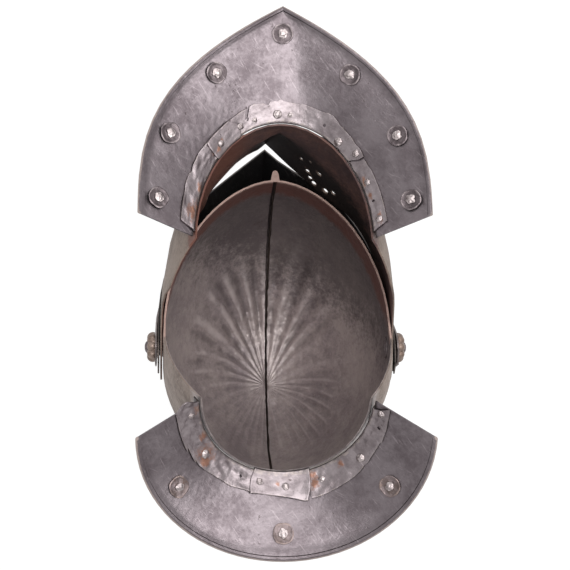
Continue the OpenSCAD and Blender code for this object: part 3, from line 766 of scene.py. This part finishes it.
@dataclass
class FacePiece(Part):
    """Bevor, ventail or visor, its prow bent to one side as the photographed one is.

    Lengths are in millimetres. The push is a list of places from the wearer's right to left with
    how far forward the prow is bent there. The lean is how far it goes to the wearer's left. Where
    there is slack, it starts that much lower on the wearer's right, and not at all near the arm.
    """

    crease: ClassVar[float] = 28.0
    lean: float = -6.0
    push: Pairs = ((-60.0, 3.0), (60.0, 3.0))
    height: Pair = (60.0, 100.0)
    front: Pair = (30.0, 90.0)
    slack: float = 0.0
    slack_side: Pair = (-4.0, 18.0)
    slack_end: Pair = (-62.0, -46.0)
    slack_rise: float = 40.0
    # heights over which the painted shade on the lining comes in
    painted_shade: Pair = (22.0, 58.0)
    middle: Place = (0.0, -60.0, 40.0)
    drill: float = 16.0
    breath: float = 2.3
    breath_axis: Place = (0.688, -0.602, 0.405)
    breaths: tuple[tuple[float, float, float, float], ...] = ()

    def shape(self) -> Piece:
        """Model the piece.

        Returns:
            The finished piece.
        """
        piece = Bench.copy_of(self.node, "_shell")
        Bench.split(piece, 1)
        points = Bench.points(piece) / MM
        away = points - self.middle
        away[:, 0] *= 1.2
        away /= np.linalg.norm(away, axis=1, keepdims=True)
        inside = ramp(Bench.inwards(piece, away), -0.15, 0.25)
        # painted shade: the bevor's lower rim by the front plate takes the dark lining colour, so the stacked
        # edges look shadowed
        if self.node == "bevor":
            inside = np.maximum(inside, FRONT.near_neck(points))
        Bench.paint(piece, "inside", inside)
        Bench.paint(piece, "patina", inside * ramp(-points[:, 0] * 0.6 + np.abs(points[:, 0]) * 0.6, 10, 60))
        # painted shade on the lining, strongest high up and on the wearer's left
        painted_shade = ramp(points[:, 2], *self.painted_shade) * (0.3 + 0.7 * ramp(points[:, 0], -25, 5))
        Bench.paint(piece, "painted_shade", inside * painted_shade)
        front = ramp(-points[:, 1], *self.front)
        prow = ramp(points[:, 2], *self.height) * front
        points[:, 1] -= prow * np.interp(points[:, 0], *zip(*self.push))
        if self.slack:
            low = self.height[0] - self.slack * ramp(-points[:, 0], *self.slack_side)
            prow = ramp(points[:, 2], low, low + self.slack_rise) * front * ramp(points[:, 0], *self.slack_end)
        points[:, 0] += prow * self.lean
        Bench.place_points(piece, points * MM)
        for x, y, z, size in self.breaths:
            across, *rest = self.breath_axis
            axis = Vector((math.copysign(across, x), *rest))
            Bench.drill(piece, Vector((x, y, z)) * MM, axis, self.breath * size, self.drill)
        return piece


@dataclass(frozen=True)
class Spot:
    """Place of a fastener, measured on its solid in metres."""

    centre: Array
    axis: Array
    radius: float
    half: float

    @classmethod
    def of(cls, part: Piece) -> "Spot":
        """Measure one round solid of a node.

        Args:
            part: The solid.

        Returns:
            Its place, its axis pointing at the ground below the helmet.
        """
        points = Bench.points(part)
        centre = points.mean(0)
        sizes, rows = np.linalg.svd(points - centre, full_matrices=False)[1:]
        axis = rows[2] if sizes[0] - sizes[1] < sizes[1] - sizes[2] else rows[0]
        axis = axis if axis[2] < 0 else -axis
        along = (points - centre) @ axis
        centre = centre + axis * (along.max() + along.min()) / 2
        across = (points - centre) - np.outer((points - centre) @ axis, axis)
        return cls(centre, axis, float(np.linalg.norm(across, axis=1).max()), float(np.ptp(along)) / 2)

    def basis(self) -> Array:
        """Return two directions across the axis, and the axis, in rows."""
        side = np.cross(self.axis, [0.0, 1.0, 0.3])
        side /= np.linalg.norm(side)
        return np.array([side, np.cross(self.axis, side), self.axis])


@dataclass
class Washers(Part):
    """Roughly cut washers with a thin raised rim, under the clenched rivets of a gorget plate."""

    crease: ClassVar[float] = 50.0
    seed: int
    corners: int = 9

    def shape(self) -> Piece:
        """Model the washers.

        Returns:
            The finished piece.
        """
        spots = []
        for part in Bench.parts_of(self.node):
            spots.append(Spot.of(part))
            bpy.data.objects.remove(part)
        first = self.model(spots[0].radius, spots[0].half)
        copies = []
        for number, spot in enumerate(spots):
            copy = first.copy()
            copy.data = first.data.copy()
            bpy.context.scene.collection.objects.link(copy)
            self.cut(copy, spot, number + self.seed)
            copies.append(copy)
        bpy.data.objects.remove(first)
        return Bench.join(copies, self.node + "_cut")

    def model(self, radius: float, half: float) -> Piece:
        """Model one washer at the origin, its rim upwards.

        Args:
            radius: Outer radius.
            half: Half of its thickness.

        Returns:
            The washer.
        """
        Bench.pick()
        bpy.ops.mesh.primitive_circle_add(vertices=36, radius=radius, fill_type="NGON", location=(0, 0, -half))
        washer = bpy.context.object
        bpy.ops.object.transform_apply(location=True)
        with Bench.editing(washer):
            bpy.ops.mesh.extrude_region_move(TRANSFORM_OT_translate={"value": (0, 0, 1.5 * half)})
            for inset, rise in ((0.05, 0.5), (0.06, 0.0), (0.06, -0.75), (0.3, 0.1), (0.2, 0.15)):
                bpy.ops.mesh.inset(thickness=inset * radius, depth=0)
                bpy.ops.transform.translate(value=(0, 0, rise * half))
            bpy.ops.mesh.poke()
            bpy.ops.mesh.select_all(action="SELECT")
            bpy.ops.mesh.normals_make_consistent(inside=False)
        return washer

    def cut(self, washer: Piece, spot: Spot, number: int) -> None:
        """Give a washer its own rough outline and put it in its place.

        Args:
            washer: The washer, at the origin.
            spot: Its place.
            number: Its number, which its outline follows.
        """
        points = Bench.points(washer)
        angle = np.arctan2(points[:, 1], points[:, 0])
        radius = np.hypot(points[:, 0], points[:, 1])
        corner = 2 * np.pi / self.corners
        chord = np.cos(corner / 2) / np.cos((angle + number) % corner - corner / 2)
        rough = uneven(np.cos(angle) * 1.6, np.sin(angle) * 1.6, number * 7.3)
        squash = 1 - 0.05 * np.cos(2 * (angle + 2.1 * number)) ** 2
        scale = (0.35 * chord + 0.65) * (0.97 + 0.05 * rough) * squash
        Bench.paint(washer, "worn", ramp(radius / spot.radius, 0.80, 0.88) * (0.4 + 1.3 * rough))
        x, y, z = 260 * points.T
        wave = 0.12 * spot.half * uneven(x + 5 * number, y, z)
        points[:, :2] *= np.minimum(scale, 1.0)[:, None]
        points[:, 2] += wave
        Bench.place_points(washer, spot.centre + points @ spot.basis())


@dataclass
class ClenchedRivets(Part):
    """Rivets of a plate or band, their lower ends hammered flat and star-like."""

    crease: ClassVar[float] = 38.0
    seed: int
    spread: float = 1.05
    flat: float = 0.55
    low: float = 1.6

    def shape(self) -> Piece:
        """Model the rivets.

        Returns:
            The finished piece.
        """
        parts = Bench.parts_of(self.node)
        for number, part in enumerate(parts):
            self.hammer(part, number + self.seed)
        return Bench.join(parts, self.node + "_clenched")

    def hammer(self, part: Piece, number: int) -> None:
        """Hammer the lower end of one rivet.

        Args:
            part: The rivet.
            number: Its number, which its marks follow.
        """
        spot = Spot.of(part)
        Bench.split(part, 1)
        basis = spot.basis()
        local = (Bench.points(part) - spot.centre) @ basis.T
        end = local[:, 2].max()
        low = local[:, 2] > end - self.low * MM
        angle = np.arctan2(local[:, 1], local[:, 0])
        across = np.hypot(local[:, 0], local[:, 1])
        reach = across[low].max()
        petals = 4 + number % 3
        ragged = uneven(np.cos(angle) * 1.4, np.sin(angle) * 1.4, number * 5.3 * 1.4)
        star = 1 + 0.05 * np.cos(petals * angle + number) + 0.28 * ragged
        dent = uneven(local[:, 0] * 900, local[:, 1] * 900, number * 3.1)
        share = np.where(low, ramp(local[:, 2], end - self.low * MM, end - 1.1 * MM), 0.0)
        local[:, :2] *= (1 + share * (star * self.spread - 1))[:, None]
        top = end - 1.5 * MM * self.flat * ramp(across / reach, 0.15, 0.9) + 0.35 * MM * np.clip(dent, -1, 0.3)
        local[:, 2] = np.where(low, np.minimum(local[:, 2], top), local[:, 2])
        Bench.place_points(part, spot.centre + local @ basis)


@dataclass
class NeckBand(Part):
    """A thin band riveted round the neck opening, its outer edge torn.

    Angles are in degrees round the plate, lengths in millimetres. The ends are lists of distance
    outwards and angle, the edge of angle and distance outwards, each crack of angle, distance
    where it starts and half width, each hole of angle, distance and radius, and each rust spot
    of angle, distance and radius. The leg stands up in the neck opening and the bend joins it to
    the flat of the band, both as distance outwards and depth.
    """

    crease: ClassVar[float] = 42.0
    plate: GorgetFrame
    start: Pairs
    end: Pairs
    edge: Pairs
    underside: float = 2.9
    cracks: Places = ()
    holes: Places = ()
    rusts: Places = ()
    crumple: float = 0.25
    seed: float = 0.0
    wall: float = 1.1
    drill: float = 8.0
    outwards: int = 13
    leg: Pairs = ((-1.4, -7.6), (-1.4, -4.6), (-1.4, -1.6), (-1.1, -0.6), (-0.3, 0.0))
    bend: Pairs = ((1.2, 0.0), (2.8, 0.0))

    def shape(self) -> Piece:
        """Model the band.

        Returns:
            The finished piece.
        """
        band, spots, row = self.grid()
        self.wear(band, spots, row)
        self.tear(band, spots)
        with Bench.editing(band):
            bpy.ops.mesh.normals_make_consistent(inside=False)
        down = self.down((self.start[0][1] + self.end[0][1]) / 2)
        if sum(f.normal.dot(down) * f.area for f in band.data.polygons) < 0:
            with Bench.editing(band):
                bpy.ops.mesh.flip_normals()
        Bench.modify(band, "SOLIDIFY", thickness=self.wall * MM, offset=-1.0)
        for s, d, radius in self.holes:
            centre = self.plate.to_rest(self.plate.point(s, d, self.underside))
            Bench.drill(band, centre, self.down(s), radius, self.drill)
        sharp = math.radians(50)
        Bench.modify(band, "BEVEL", width=0.22 * MM, segments=2, limit_method="ANGLE", angle_limit=sharp)
        return band

    def grid(self) -> tuple[Piece, Array, Array]:
        """Lay a flat grid and work out where its points go.

        Returns:
            The grid, the angle, distance outwards and depth of each of its points, and their rows,
            from the end of the leg to the outer edge.
        """
        rows = [*self.leg, *self.bend]
        columns = self.columns()
        last = len(rows) + self.outwards - 1
        Bench.pick()
        bpy.ops.mesh.primitive_grid_add(x_subdivisions=last, y_subdivisions=len(columns) - 1, size=1)
        band = bpy.context.object
        band.name = self.node + "_torn"
        flat = Bench.points(band)[:, :2]
        share = (flat - flat.min(0)) / np.ptp(flat, axis=0)
        row, column = np.rint(share * (last, len(columns) - 1)).astype(int).T
        return band, np.array([self.spot(columns[i], j, rows) for i, j in zip(column, row)]), row

    def wear(self, band: Piece, spots: Array, row: Array) -> None:
        """Crumple the band, put its points in place and paint its rust and worn edges.

        Args:
            band: The flat grid.
            spots: Angle, distance outwards and depth of each point.
            row: Row of each point.
        """
        s, d = spots[:, 0], spots[:, 1]
        fine = uneven(s * 0.5, d * 0.55, self.seed + 9)
        lift = np.maximum(0, 0.9 * uneven(s * 0.16, d * 0.2, self.seed) + 0.35 * fine + 0.25)
        spots[:, 2] += self.crumple * lift * (row >= len(self.leg))
        Bench.place_points(band, self.plate.to_rest(self.plate.point(*spots.T)))
        rust = [1 + 0.4 * fine - np.hypot((s - a) * 1.35, d - b) / r / 1.6 for a, b, r in self.rusts]
        Bench.paint(band, "rust", np.max([0 * s, *rust], axis=0))
        Bench.paint(band, "worn", (0.5 + fine) * np.isin(row, (len(self.leg) - 1, len(self.leg), row.max())))
        Bench.paint(band, "shade", row < len(self.leg) - 1)

    def down(self, s: float) -> Vector:
        """Return the direction down through the plate at rest, at an angle."""
        return Vector(self.plate.to_rest(self.plate.axes(s)[1]))

    def columns(self) -> list[float]:
        """Return the shares of the band's length at which its columns lie, with one at each side of a crack."""
        low, high = self.start[-1][1], self.end[-1][1]
        cracks = sorted((c[0] + k * c[2] - low) / (high - low) for c in self.cracks for k in (-1, 1))
        even = np.linspace(0, 1, max(14, int((high - low) * 1.35)))
        step = even[1] * 0.6
        return sorted(cracks + [float(t) for t in even if all(abs(t - c) > step for c in cracks)])

    def spot(self, share: float, row: int, rows: list[Pair]) -> Place:
        """Work out where a point of the flat grid goes.

        Args:
            share: Share of the band's length.
            row: Number of the row, from the end of the leg to the outer edge.
            rows: Distance outwards and lift of the rows next to the neck.

        Returns:
            Angle, distance outwards and depth below the plate's upper side.
        """
        if row < len(rows):
            d, n = rows[row]
        else:
            guess = self.start[-1][1] + (self.end[-1][1] - self.start[-1][1]) * share
            width = float(np.interp(guess, *zip(*self.edge)))
            d = rows[-1][0] + (width - rows[-1][0]) * (row - len(rows) + 1) / self.outwards
            n = 0.0
        low = float(np.interp(d, *zip(*self.start)))
        high = float(np.interp(d, *zip(*self.end)))
        return low + (high - low) * share, d, self.underside + n

    def tear(self, band: Piece, spots: Array) -> None:
        """Delete the faces that lie in the cracks.

        Args:
            band: The band.
            spots: Angle, distance outwards and depth of each point.
        """
        middles = (spots[list(f.vertices)].mean(0) for f in band.data.polygons)
        torn = [any(abs(s - a) < w and d > b for a, b, w in self.cracks) for s, d, _ in middles]
        if any(torn):
            Bench.choose(band, torn)
            with Bench.editing(band, every=False):
                bpy.ops.mesh.delete(type="FACE")


PATCH_LEG = ((-2.7, -5.0), (-2.7, -3.4), (-2.7, -1.6), (-2.2, -0.6), (-1.1, 0.0))


def neck_bands() -> list[NeckBand]:
    """Return the seven bands with their torn edges, as the photographed ones lie."""
    front, rear = (Body.BEVOR, Slot.BAND, FRONT), (Body.SKULL, Slot.BAND, REAR)
    return [
        NeckBand(
            "front_neck_band_right", *front,
            start=((-8, -87.5), (20, -87.5)),
            end=((-8, -37.6), (20, -37.6)),
            edge=((-88, 12.6), (-84, 14.4), (-80, 15.6), (-77, 16.2), (-75, 17.6), (-72, 18.4), (-69.5, 18.2),
                  (-68, 16.6), (-66, 18.9), (-63, 19.4), (-60, 20.2), (-56, 19.6), (-50, 19.4), (-37, 19.0)),
            rusts=((-81, 4, 5.5), (-77, 1, 4), (-68, 3, 3), (-50, 9, 4)), crumple=1.2, seed=1.5,
        ),
        NeckBand(
            "front_neck_band_centre", *front,
            start=((-8, -37.2), (20, -37.2)),
            end=((-8, 44), (0, 49), (10, 56), (20, 60)),
            edge=((-37, 19.2), (-33, 19.2), (-30, 19.7), (-27, 19.1), (-24.5, 19.8), (-22, 20.0), (-20, 19.3),
                  (-17, 18.1), (-14, 17.3), (-12.6, 16.2), (-11, 15.2), (-9.6, 14.8), (-9, 16.8), (-8, 17.3),
                  (-6, 16.9), (-4, 16.3), (-2.2, 16.3), (-1.5, 17.7), (0.5, 17.8), (1.4, 16.5), (4, 16.2),
                  (7, 15.9), (11, 16.3), (14, 16.9), (16, 17.8), (20, 18.2), (24, 18.6), (28, 19.3), (31, 20.4),
                  (33, 22.0), (36, 22.5), (38, 21.8), (41, 19.6), (45, 18.9), (50, 18.2), (53, 16.9),
                  (56, 17.6), (60, 15.6)),
            cracks=((-24.4, 7.8, 0.35), (-24.9, 10.0, 0.75)), holes=((30, 9.6, 1.3),), crumple=0.35, seed=4.0,
        ),
        NeckBand(
            "front_neck_band_left", *front,
            start=((-8, 45), (0, 50), (10, 57), (20, 61)),
            end=((-8, 87), (20, 87)),
            edge=((57, 15.8), (60, 15.0), (64, 14.6), (67, 15.3), (70, 14.8), (76, 14.4), (80, 13.7),
                  (84, 13.0), (87, 12.4)),
            holes=((75, 5, 1.2),), rusts=((64, 4, 3), (72, 3, 3), (84, 7, 3)), crumple=0.5, seed=8.0,
        ),
        NeckBand(
            "front_neck_band_patch", *front,
            start=((-8, -45.5), (-3, -46.5), (0, -48.5), (5, -50.5), (10, -52), (15, -53.5), (20, -54.5)),
            end=((-8, -28.5), (3, -29), (8, -30), (12, -32.4), (16, -35.8), (20, -39)),
            edge=((-55, 19.2), (-52, 19.9), (-44, 19.8), (-40, 20.1), (-38, 19.8)),
            underside=4.4, rusts=((-47, 6, 3), (-45, 10, 2)), crumple=0.3, seed=12.0, leg=PATCH_LEG,
            cracks=((-45.2, 14.5, 0.12),),
        ),
        NeckBand(
            "rear_neck_band_right", *rear,
            start=((-8, -89), (0, -90), (4, -92), (8, -95), (12, -97), (15, -97.5), (17.5, -96.5), (19.3, -93),
                   (20.5, -88)),
            end=((-8, 14.5), (20, 14.5)),
            edge=((-88, 20.0), (-84, 19.4), (-80, 19.2), (-74, 19.5), (-70, 19.8), (-66, 20.3), (-64, 20.0),
                  (-62, 18.1), (-60, 18.7), (-58, 19.9), (-56, 20.1), (-54.6, 18.7), (-52, 19.5), (-48, 19.2),
                  (-44, 18.4), (-40, 17.8), (-34, 17.5), (-28, 18.1), (-24, 17.2), (-20, 16.6), (-14, 17.0),
                  (15, 17.0)),
            holes=((-28, 8, 1.3),), rusts=((-56, 10, 8.5), (-53, 14, 5), (-66, 3, 4), (-86, 1, 4)), crumple=1.0,
            seed=16.0,
        ),
        NeckBand(
            "rear_neck_band_left", *rear,
            start=((-8, 16), (20, 16.4)),
            end=((-8, 84.5), (0, 85), (6, 87), (12, 90.5), (16, 92.5), (18.5, 92), (20.5, 88)),
            edge=((16, 21.4), (20, 21.5), (26, 20.8), (32, 20.1), (38, 19.5), (42, 19.3), (45, 18.8),
                  (48, 18.1), (50, 17.1), (53, 17.5), (56, 16.4), (60, 15.8), (66, 15.3), (67, 16.3),
                  (70, 15.4), (74, 15.2), (80, 13.9), (88, 13.5)),
            holes=((76, 9, 1.4),), rusts=((20.5, 4, 4.5), (20, 11, 4), (40, 5, 3)), crumple=0.8, seed=20.0,
        ),
        NeckBand(
            "rear_neck_band_patch", *rear,
            start=((-8, -19), (0, -20), (7, -21), (14, -20.3), (22, -18)),
            end=((-8, 19.6), (0, 18.8), (5, 18.2), (10, 17.6), (15, 16.6), (22, 14.2)),
            edge=((-20, 18.9), (-15, 17.2), (-10, 16.8), (-5, 17.0), (0, 17.8), (4, 18.8), (8, 20.4),
                  (12, 22.4), (15, 22.9)),
            underside=4.4, crumple=0.3, seed=24.0, rusts=((-3, 8, 2.5),), leg=PATCH_LEG,
        ),
    ]


@dataclass
class GorgetPlate(Part):
    """A gorget plate with a soft middle ridge and its rolled edge worn bright. Millimetres."""

    crease: ClassVar[float] = 40.0
    plate: GorgetFrame
    roll: float = 2.2
    shift: float = 3.4
    wall: float = 1.4
    ridge: float = 15.0
    ends: Pair = (-104.0, -163.0)
    worn: Pair = (2.4, 4.4)

    def shape(self) -> Piece:
        """Model the plate.

        Returns:
            The finished piece.
        """
        piece = Bench.copy_of(self.node, "_shell")
        self.soften_roll(piece)
        Bench.split(piece, 2)
        points = Bench.points(piece)
        away = nearest(points, self.plate.to_rest(self.plate.outer(np.linspace(-90, 90, 361))))[0] / MM
        Bench.paint(piece, "worn", ramp(-away, -self.worn[1], -self.worn[0]))
        Bench.paint(piece, "shade", self.leg(points / MM))
        if self.plate.front:
            Bench.place_points(piece, points + self.soften_ridge(points) * ramp(away, 3, 14)[:, None])
        return piece

    def leg(self, points: Array) -> Array:
        """Return how much points, in millimetres, belong to the upright leg round the neck, from 0 to 1."""
        flat = swing(-self.plate.opened, points)
        edge = self.plate.inner(ROUND)
        _, number = nearest(flat, edge)
        outwards = ((flat - edge[number]) * self.plate.axes(ROUND)[0][number]).sum(1)
        return ramp(-outwards, -1.6, 0.4)

    def soften_roll(self, piece: Piece) -> None:
        """Move the inner foot of the rolled edge inwards, so that the roll runs out softly.

        Args:
            piece: The plate.
        """
        points = Bench.points(piece)
        for s in [-90, -88.7, -87.3, *np.arange(-85.5, 86, 4.5), 87.3, 88.7, 90]:
            foot = self.plate.length(s) - 2.2 * self.roll
            places = (self.plate.point(s, d, self.wall) for d in (foot, foot - self.shift))
            old, new = (self.plate.to_rest(place) for place in places)
            points[np.linalg.norm(points - old, axis=1) < 0.2 * MM] = new
        Bench.place_points(piece, points)

    def soften_ridge(self, points: Array) -> Array:
        """Work out moves that round the ridge in the middle of the plate.

        Args:
            points: Points at rest, in rows of three.

        Returns:
            A move for each point.
        """
        worn = swing(-self.plate.opened, points) / MM
        inner, outer = (edge(np.linspace(0, 50, 60)) for edge in (self.plate.inner, self.plate.outer))
        reach = np.linspace(*self.ends, 30)
        slope = []
        for y in reach:
            share = (y - inner[:, 1]) / (outer[:, 1] - inner[:, 1])
            x, _, z = (inner + share[:, None] * (outer - inner)).T
            slope.append((z[0] - np.interp(self.ridge, x, z)) / self.ridge)
        steep = np.interp(-worn[:, 1], -reach, slope)
        side = np.minimum(np.abs(worn[:, 0]) / self.ridge, 1)
        move = np.zeros_like(worn)
        move[:, 2] = -steep * self.ridge * (1 - side) ** 2 * 0.5
        return swing(self.plate.opened, move) * MM


@dataclass
class Studio:
    """Camera, floor and lights. Lengths in millimetres, angles in degrees."""

    tilt: float = 15.795
    yaw: float = 4.09
    roll: float = 0.324
    distance: float = 1292.56
    aim: Pair = (7.196, 52.102)
    focal_pixels: float = 1546.95
    frame_pixels: float = 570.0
    sensor: float = 36.0
    floor_height: float = 181.0
    glow: float = 0.4

    @staticmethod
    def turned(a: Vector, b: Vector, angle: float) -> tuple[Vector, Vector]:
        """Turn two directions by an angle in degrees, in the plane that they span."""
        c, s = math.cos(math.radians(angle)), math.sin(math.radians(angle))
        return a * c + b * s, b * c - a * s

    def build(self) -> None:
        """Set up the camera, the floor, the lamps and the world."""
        scene = bpy.context.scene
        scene.view_settings.view_transform = "Standard"
        plain_up, back = self.turned(Vector((0, -1, 0)), Vector((0, 0, -1)), -self.tilt)
        right, back = self.turned(Vector((1, 0, 0)), back, self.yaw)
        right, up = self.turned(right, plain_up, self.roll)
        camera = bpy.data.objects.new("camera", bpy.data.cameras.new("camera"))
        scene.collection.objects.link(camera)
        scene.camera = camera
        camera.data.sensor_width = self.sensor
        camera.data.lens = self.focal_pixels * self.sensor / self.frame_pixels
        camera.data.clip_end = 50.0
        camera.rotation_mode = "QUATERNION"
        camera.rotation_quaternion = Matrix((right, up, back)).transposed().to_quaternion()
        camera.location = (Vector((self.aim[0], 0, 0)) + plain_up * self.aim[1] + back * self.distance) * MM
        self.floor()
        self.lamps(right, up, back)
        self.world()

    def floor(self) -> None:
        """Make the pale floor that the helmet lies on, crown first."""
        Bench.pick()
        place = (0, 0, self.floor_height * MM)
        bpy.ops.mesh.primitive_plane_add(size=6.0, location=place, rotation=(math.pi, 0, 0))
        floor = bpy.context.object
        floor.name = "floor"
        material = bpy.data.materials.new("floor_white")
        r = Recipe(material)
        matt = r.node("ShaderNodeBsdfDiffuse", {}, {"Color": (0.9, 0.9, 0.9)})
        white = r.node("ShaderNodeEmission", {}, {"Color": (1.0, 1.0, 1.0), "Strength": 1.1})
        pale = r.node("ShaderNodeMixShader", {}, {0: 0.84, 1: matt, 2: white})
        clear = r.node("ShaderNodeBsdfTransparent", {}, {})
        behind = r.node("ShaderNodeNewGeometry", {}, {}, "Backfacing")
        both = r.node("ShaderNodeMixShader", {}, {0: behind, 1: pale, 2: clear})
        r.finish(both)
        floor.data.materials.append(material)

    def lamps(self, right: Vector, up: Vector, back: Vector) -> None:
        """Hang the soft lamps.

        Args:
            right: The camera's right direction.
            up: The camera's up direction.
            back: The direction from the helmet to the camera.
        """
        places = (
            ("front", back * 1.72 + up * 0.14 + right * 0.54, 2.3, 1.3, 38.0),
            ("rear", back * 1.10 + up * 1.34 + right * 0.30, 1.5, 0.7, 12.0),
            ("top", Vector((0.3, 0.6, 2.2)), 1.6, 1.6, 8.0),
        )
        for name, place, wide, tall, power in places:
            lamp = bpy.data.lights.new(name, "AREA")
            lamp.shape = "RECTANGLE"
            lamp.size, lamp.size_y = wide, tall
            lamp.energy = power
            holder = bpy.data.objects.new(name, lamp)
            bpy.context.scene.collection.objects.link(holder)
            holder.location = place
            holder.rotation_mode = "QUATERNION"
            away = place.normalized()
            side = up.cross(away).normalized()
            turned = Matrix((side, away.cross(side), away)).transposed()
            holder.rotation_quaternion = turned.to_quaternion()

    def world(self) -> None:
        """Make a white world for what is seen and mirrored, and a plainer one for the light."""
        world = bpy.data.worlds.new("studio")
        bpy.context.scene.world = world
        r = Recipe(world)
        rays = ("Camera", "Glossy", "Transmission")
        camera, mirrored, through = (r.node("ShaderNodeLightPath", {}, {}, f"Is {ray} Ray") for ray in rays)
        seen = camera.math("MAXIMUM", camera.math("MAXIMUM", camera, mirrored), through)
        strength = r.node("ShaderNodeMapRange", {}, {"Value": seen, "To Min": self.glow, "To Max": 1.0})
        light = r.node("ShaderNodeBackground", {}, {"Strength": strength, "Color": (1.0, 1.0, 1.0)})
        r.finish(light, "ShaderNodeOutputWorld")


def dress_nodes(finishes: Finishes, frame: dict) -> None:
    """Give every CAD node its finish, also those that other pieces stand for.

    Args:
        finishes: The finishes.
    """
    looks = {
        "gorget_plate": "plate", "rear_gorget_washers": "rusty", "front_gorget_washers": "washer",
        "pivot": "inner", "rosette": "rosette", "neck_band": "band", "rivets": "rivet",
    }
    for name, node in frame["nodes"].items():
        look = next((look for part, look in looks.items() if part in name), name)
        for slot in node.material_slots:
            slot.material = finishes[look]


def main() -> None:
    """Build the helmet's looks and the studio."""
    logging.basicConfig(level=logging.INFO)
    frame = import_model()
    finishes = {steel.name: steel.material() for steel in STEELS}
    dress_nodes(finishes, frame)
    SkullPiece("skull", Body.SKULL, Slot.STEEL).build(finishes["skull"])
    FacePiece(
        "bevor", Body.BEVOR, Slot.DARK, lean=-7.0, slack=30.0,
        push=((-70, 4.0), (-52, 10.0), (-40, 12.5), (-28, 12.2), (-15, 6.2), (-6, 0.8), (6, 0.0), (22, -2.2),
              (30, -3.0), (38, -5.0), (70, -5.0)),
        breaths=(
            (-55.2, -111.8, 64.4, 1.0), (29.4, -147.4, 55.1, 0.75), (23.0, -147.7, 66.3, 0.75),
            (29.6, -136.7, 71.6, 0.9), (37.7, -135.9, 59.2, 1.1), (36.4, -126.1, 75.7, 1.0),
            (33.0, -130.6, 74.8, 0.7), (45.1, -119.9, 69.8, 1.15), (50.4, -119.0, 62.5, 1.0),
        ),
    ).build(finishes["bevor"])
    for node, body in (("ventail", Body.VENTAIL), ("visor", Body.VISOR)):
        FacePiece(
            node, body, Slot.STEEL, push=((-60, 5.0), (-30, 4.5), (12, 3.0), (25, 5.0), (45, 8.0), (70, 8.0)),
            height=(45.0, 90.0), front=(15.0, 65.0),
        ).build(finishes[node])
    GorgetPlate("rear_gorget_plate", Body.SKULL, Slot.STEEL, REAR).build(finishes["plate"])
    GorgetPlate("front_gorget_plate", Body.BEVOR, Slot.STEEL, FRONT).build(finishes["plate"])
    for band in neck_bands():
        band.build(finishes["band"])
    Washers("rear_gorget_washers", Body.SKULL, Slot.RUSTY, seed=3).build(finishes["rusty"])
    Washers("front_gorget_washers", Body.BEVOR, Slot.STEEL, seed=11).build(finishes["washer"])
    for node, body, seed, spread in (
        ("rear_gorget_rivets", Body.SKULL, 2, 1.2),
        ("front_gorget_rivets", Body.BEVOR, 9, 1.3),
        ("rear_band_rivets", Body.SKULL, 20, 1.05),
        ("front_band_rivets", Body.BEVOR, 31, 1.05),
    ):
        ClenchedRivets(node, body, Slot.RIVET, seed, spread).build(finishes["rivet"])
    Studio().build()


if __name__ == "__main__":
    main()
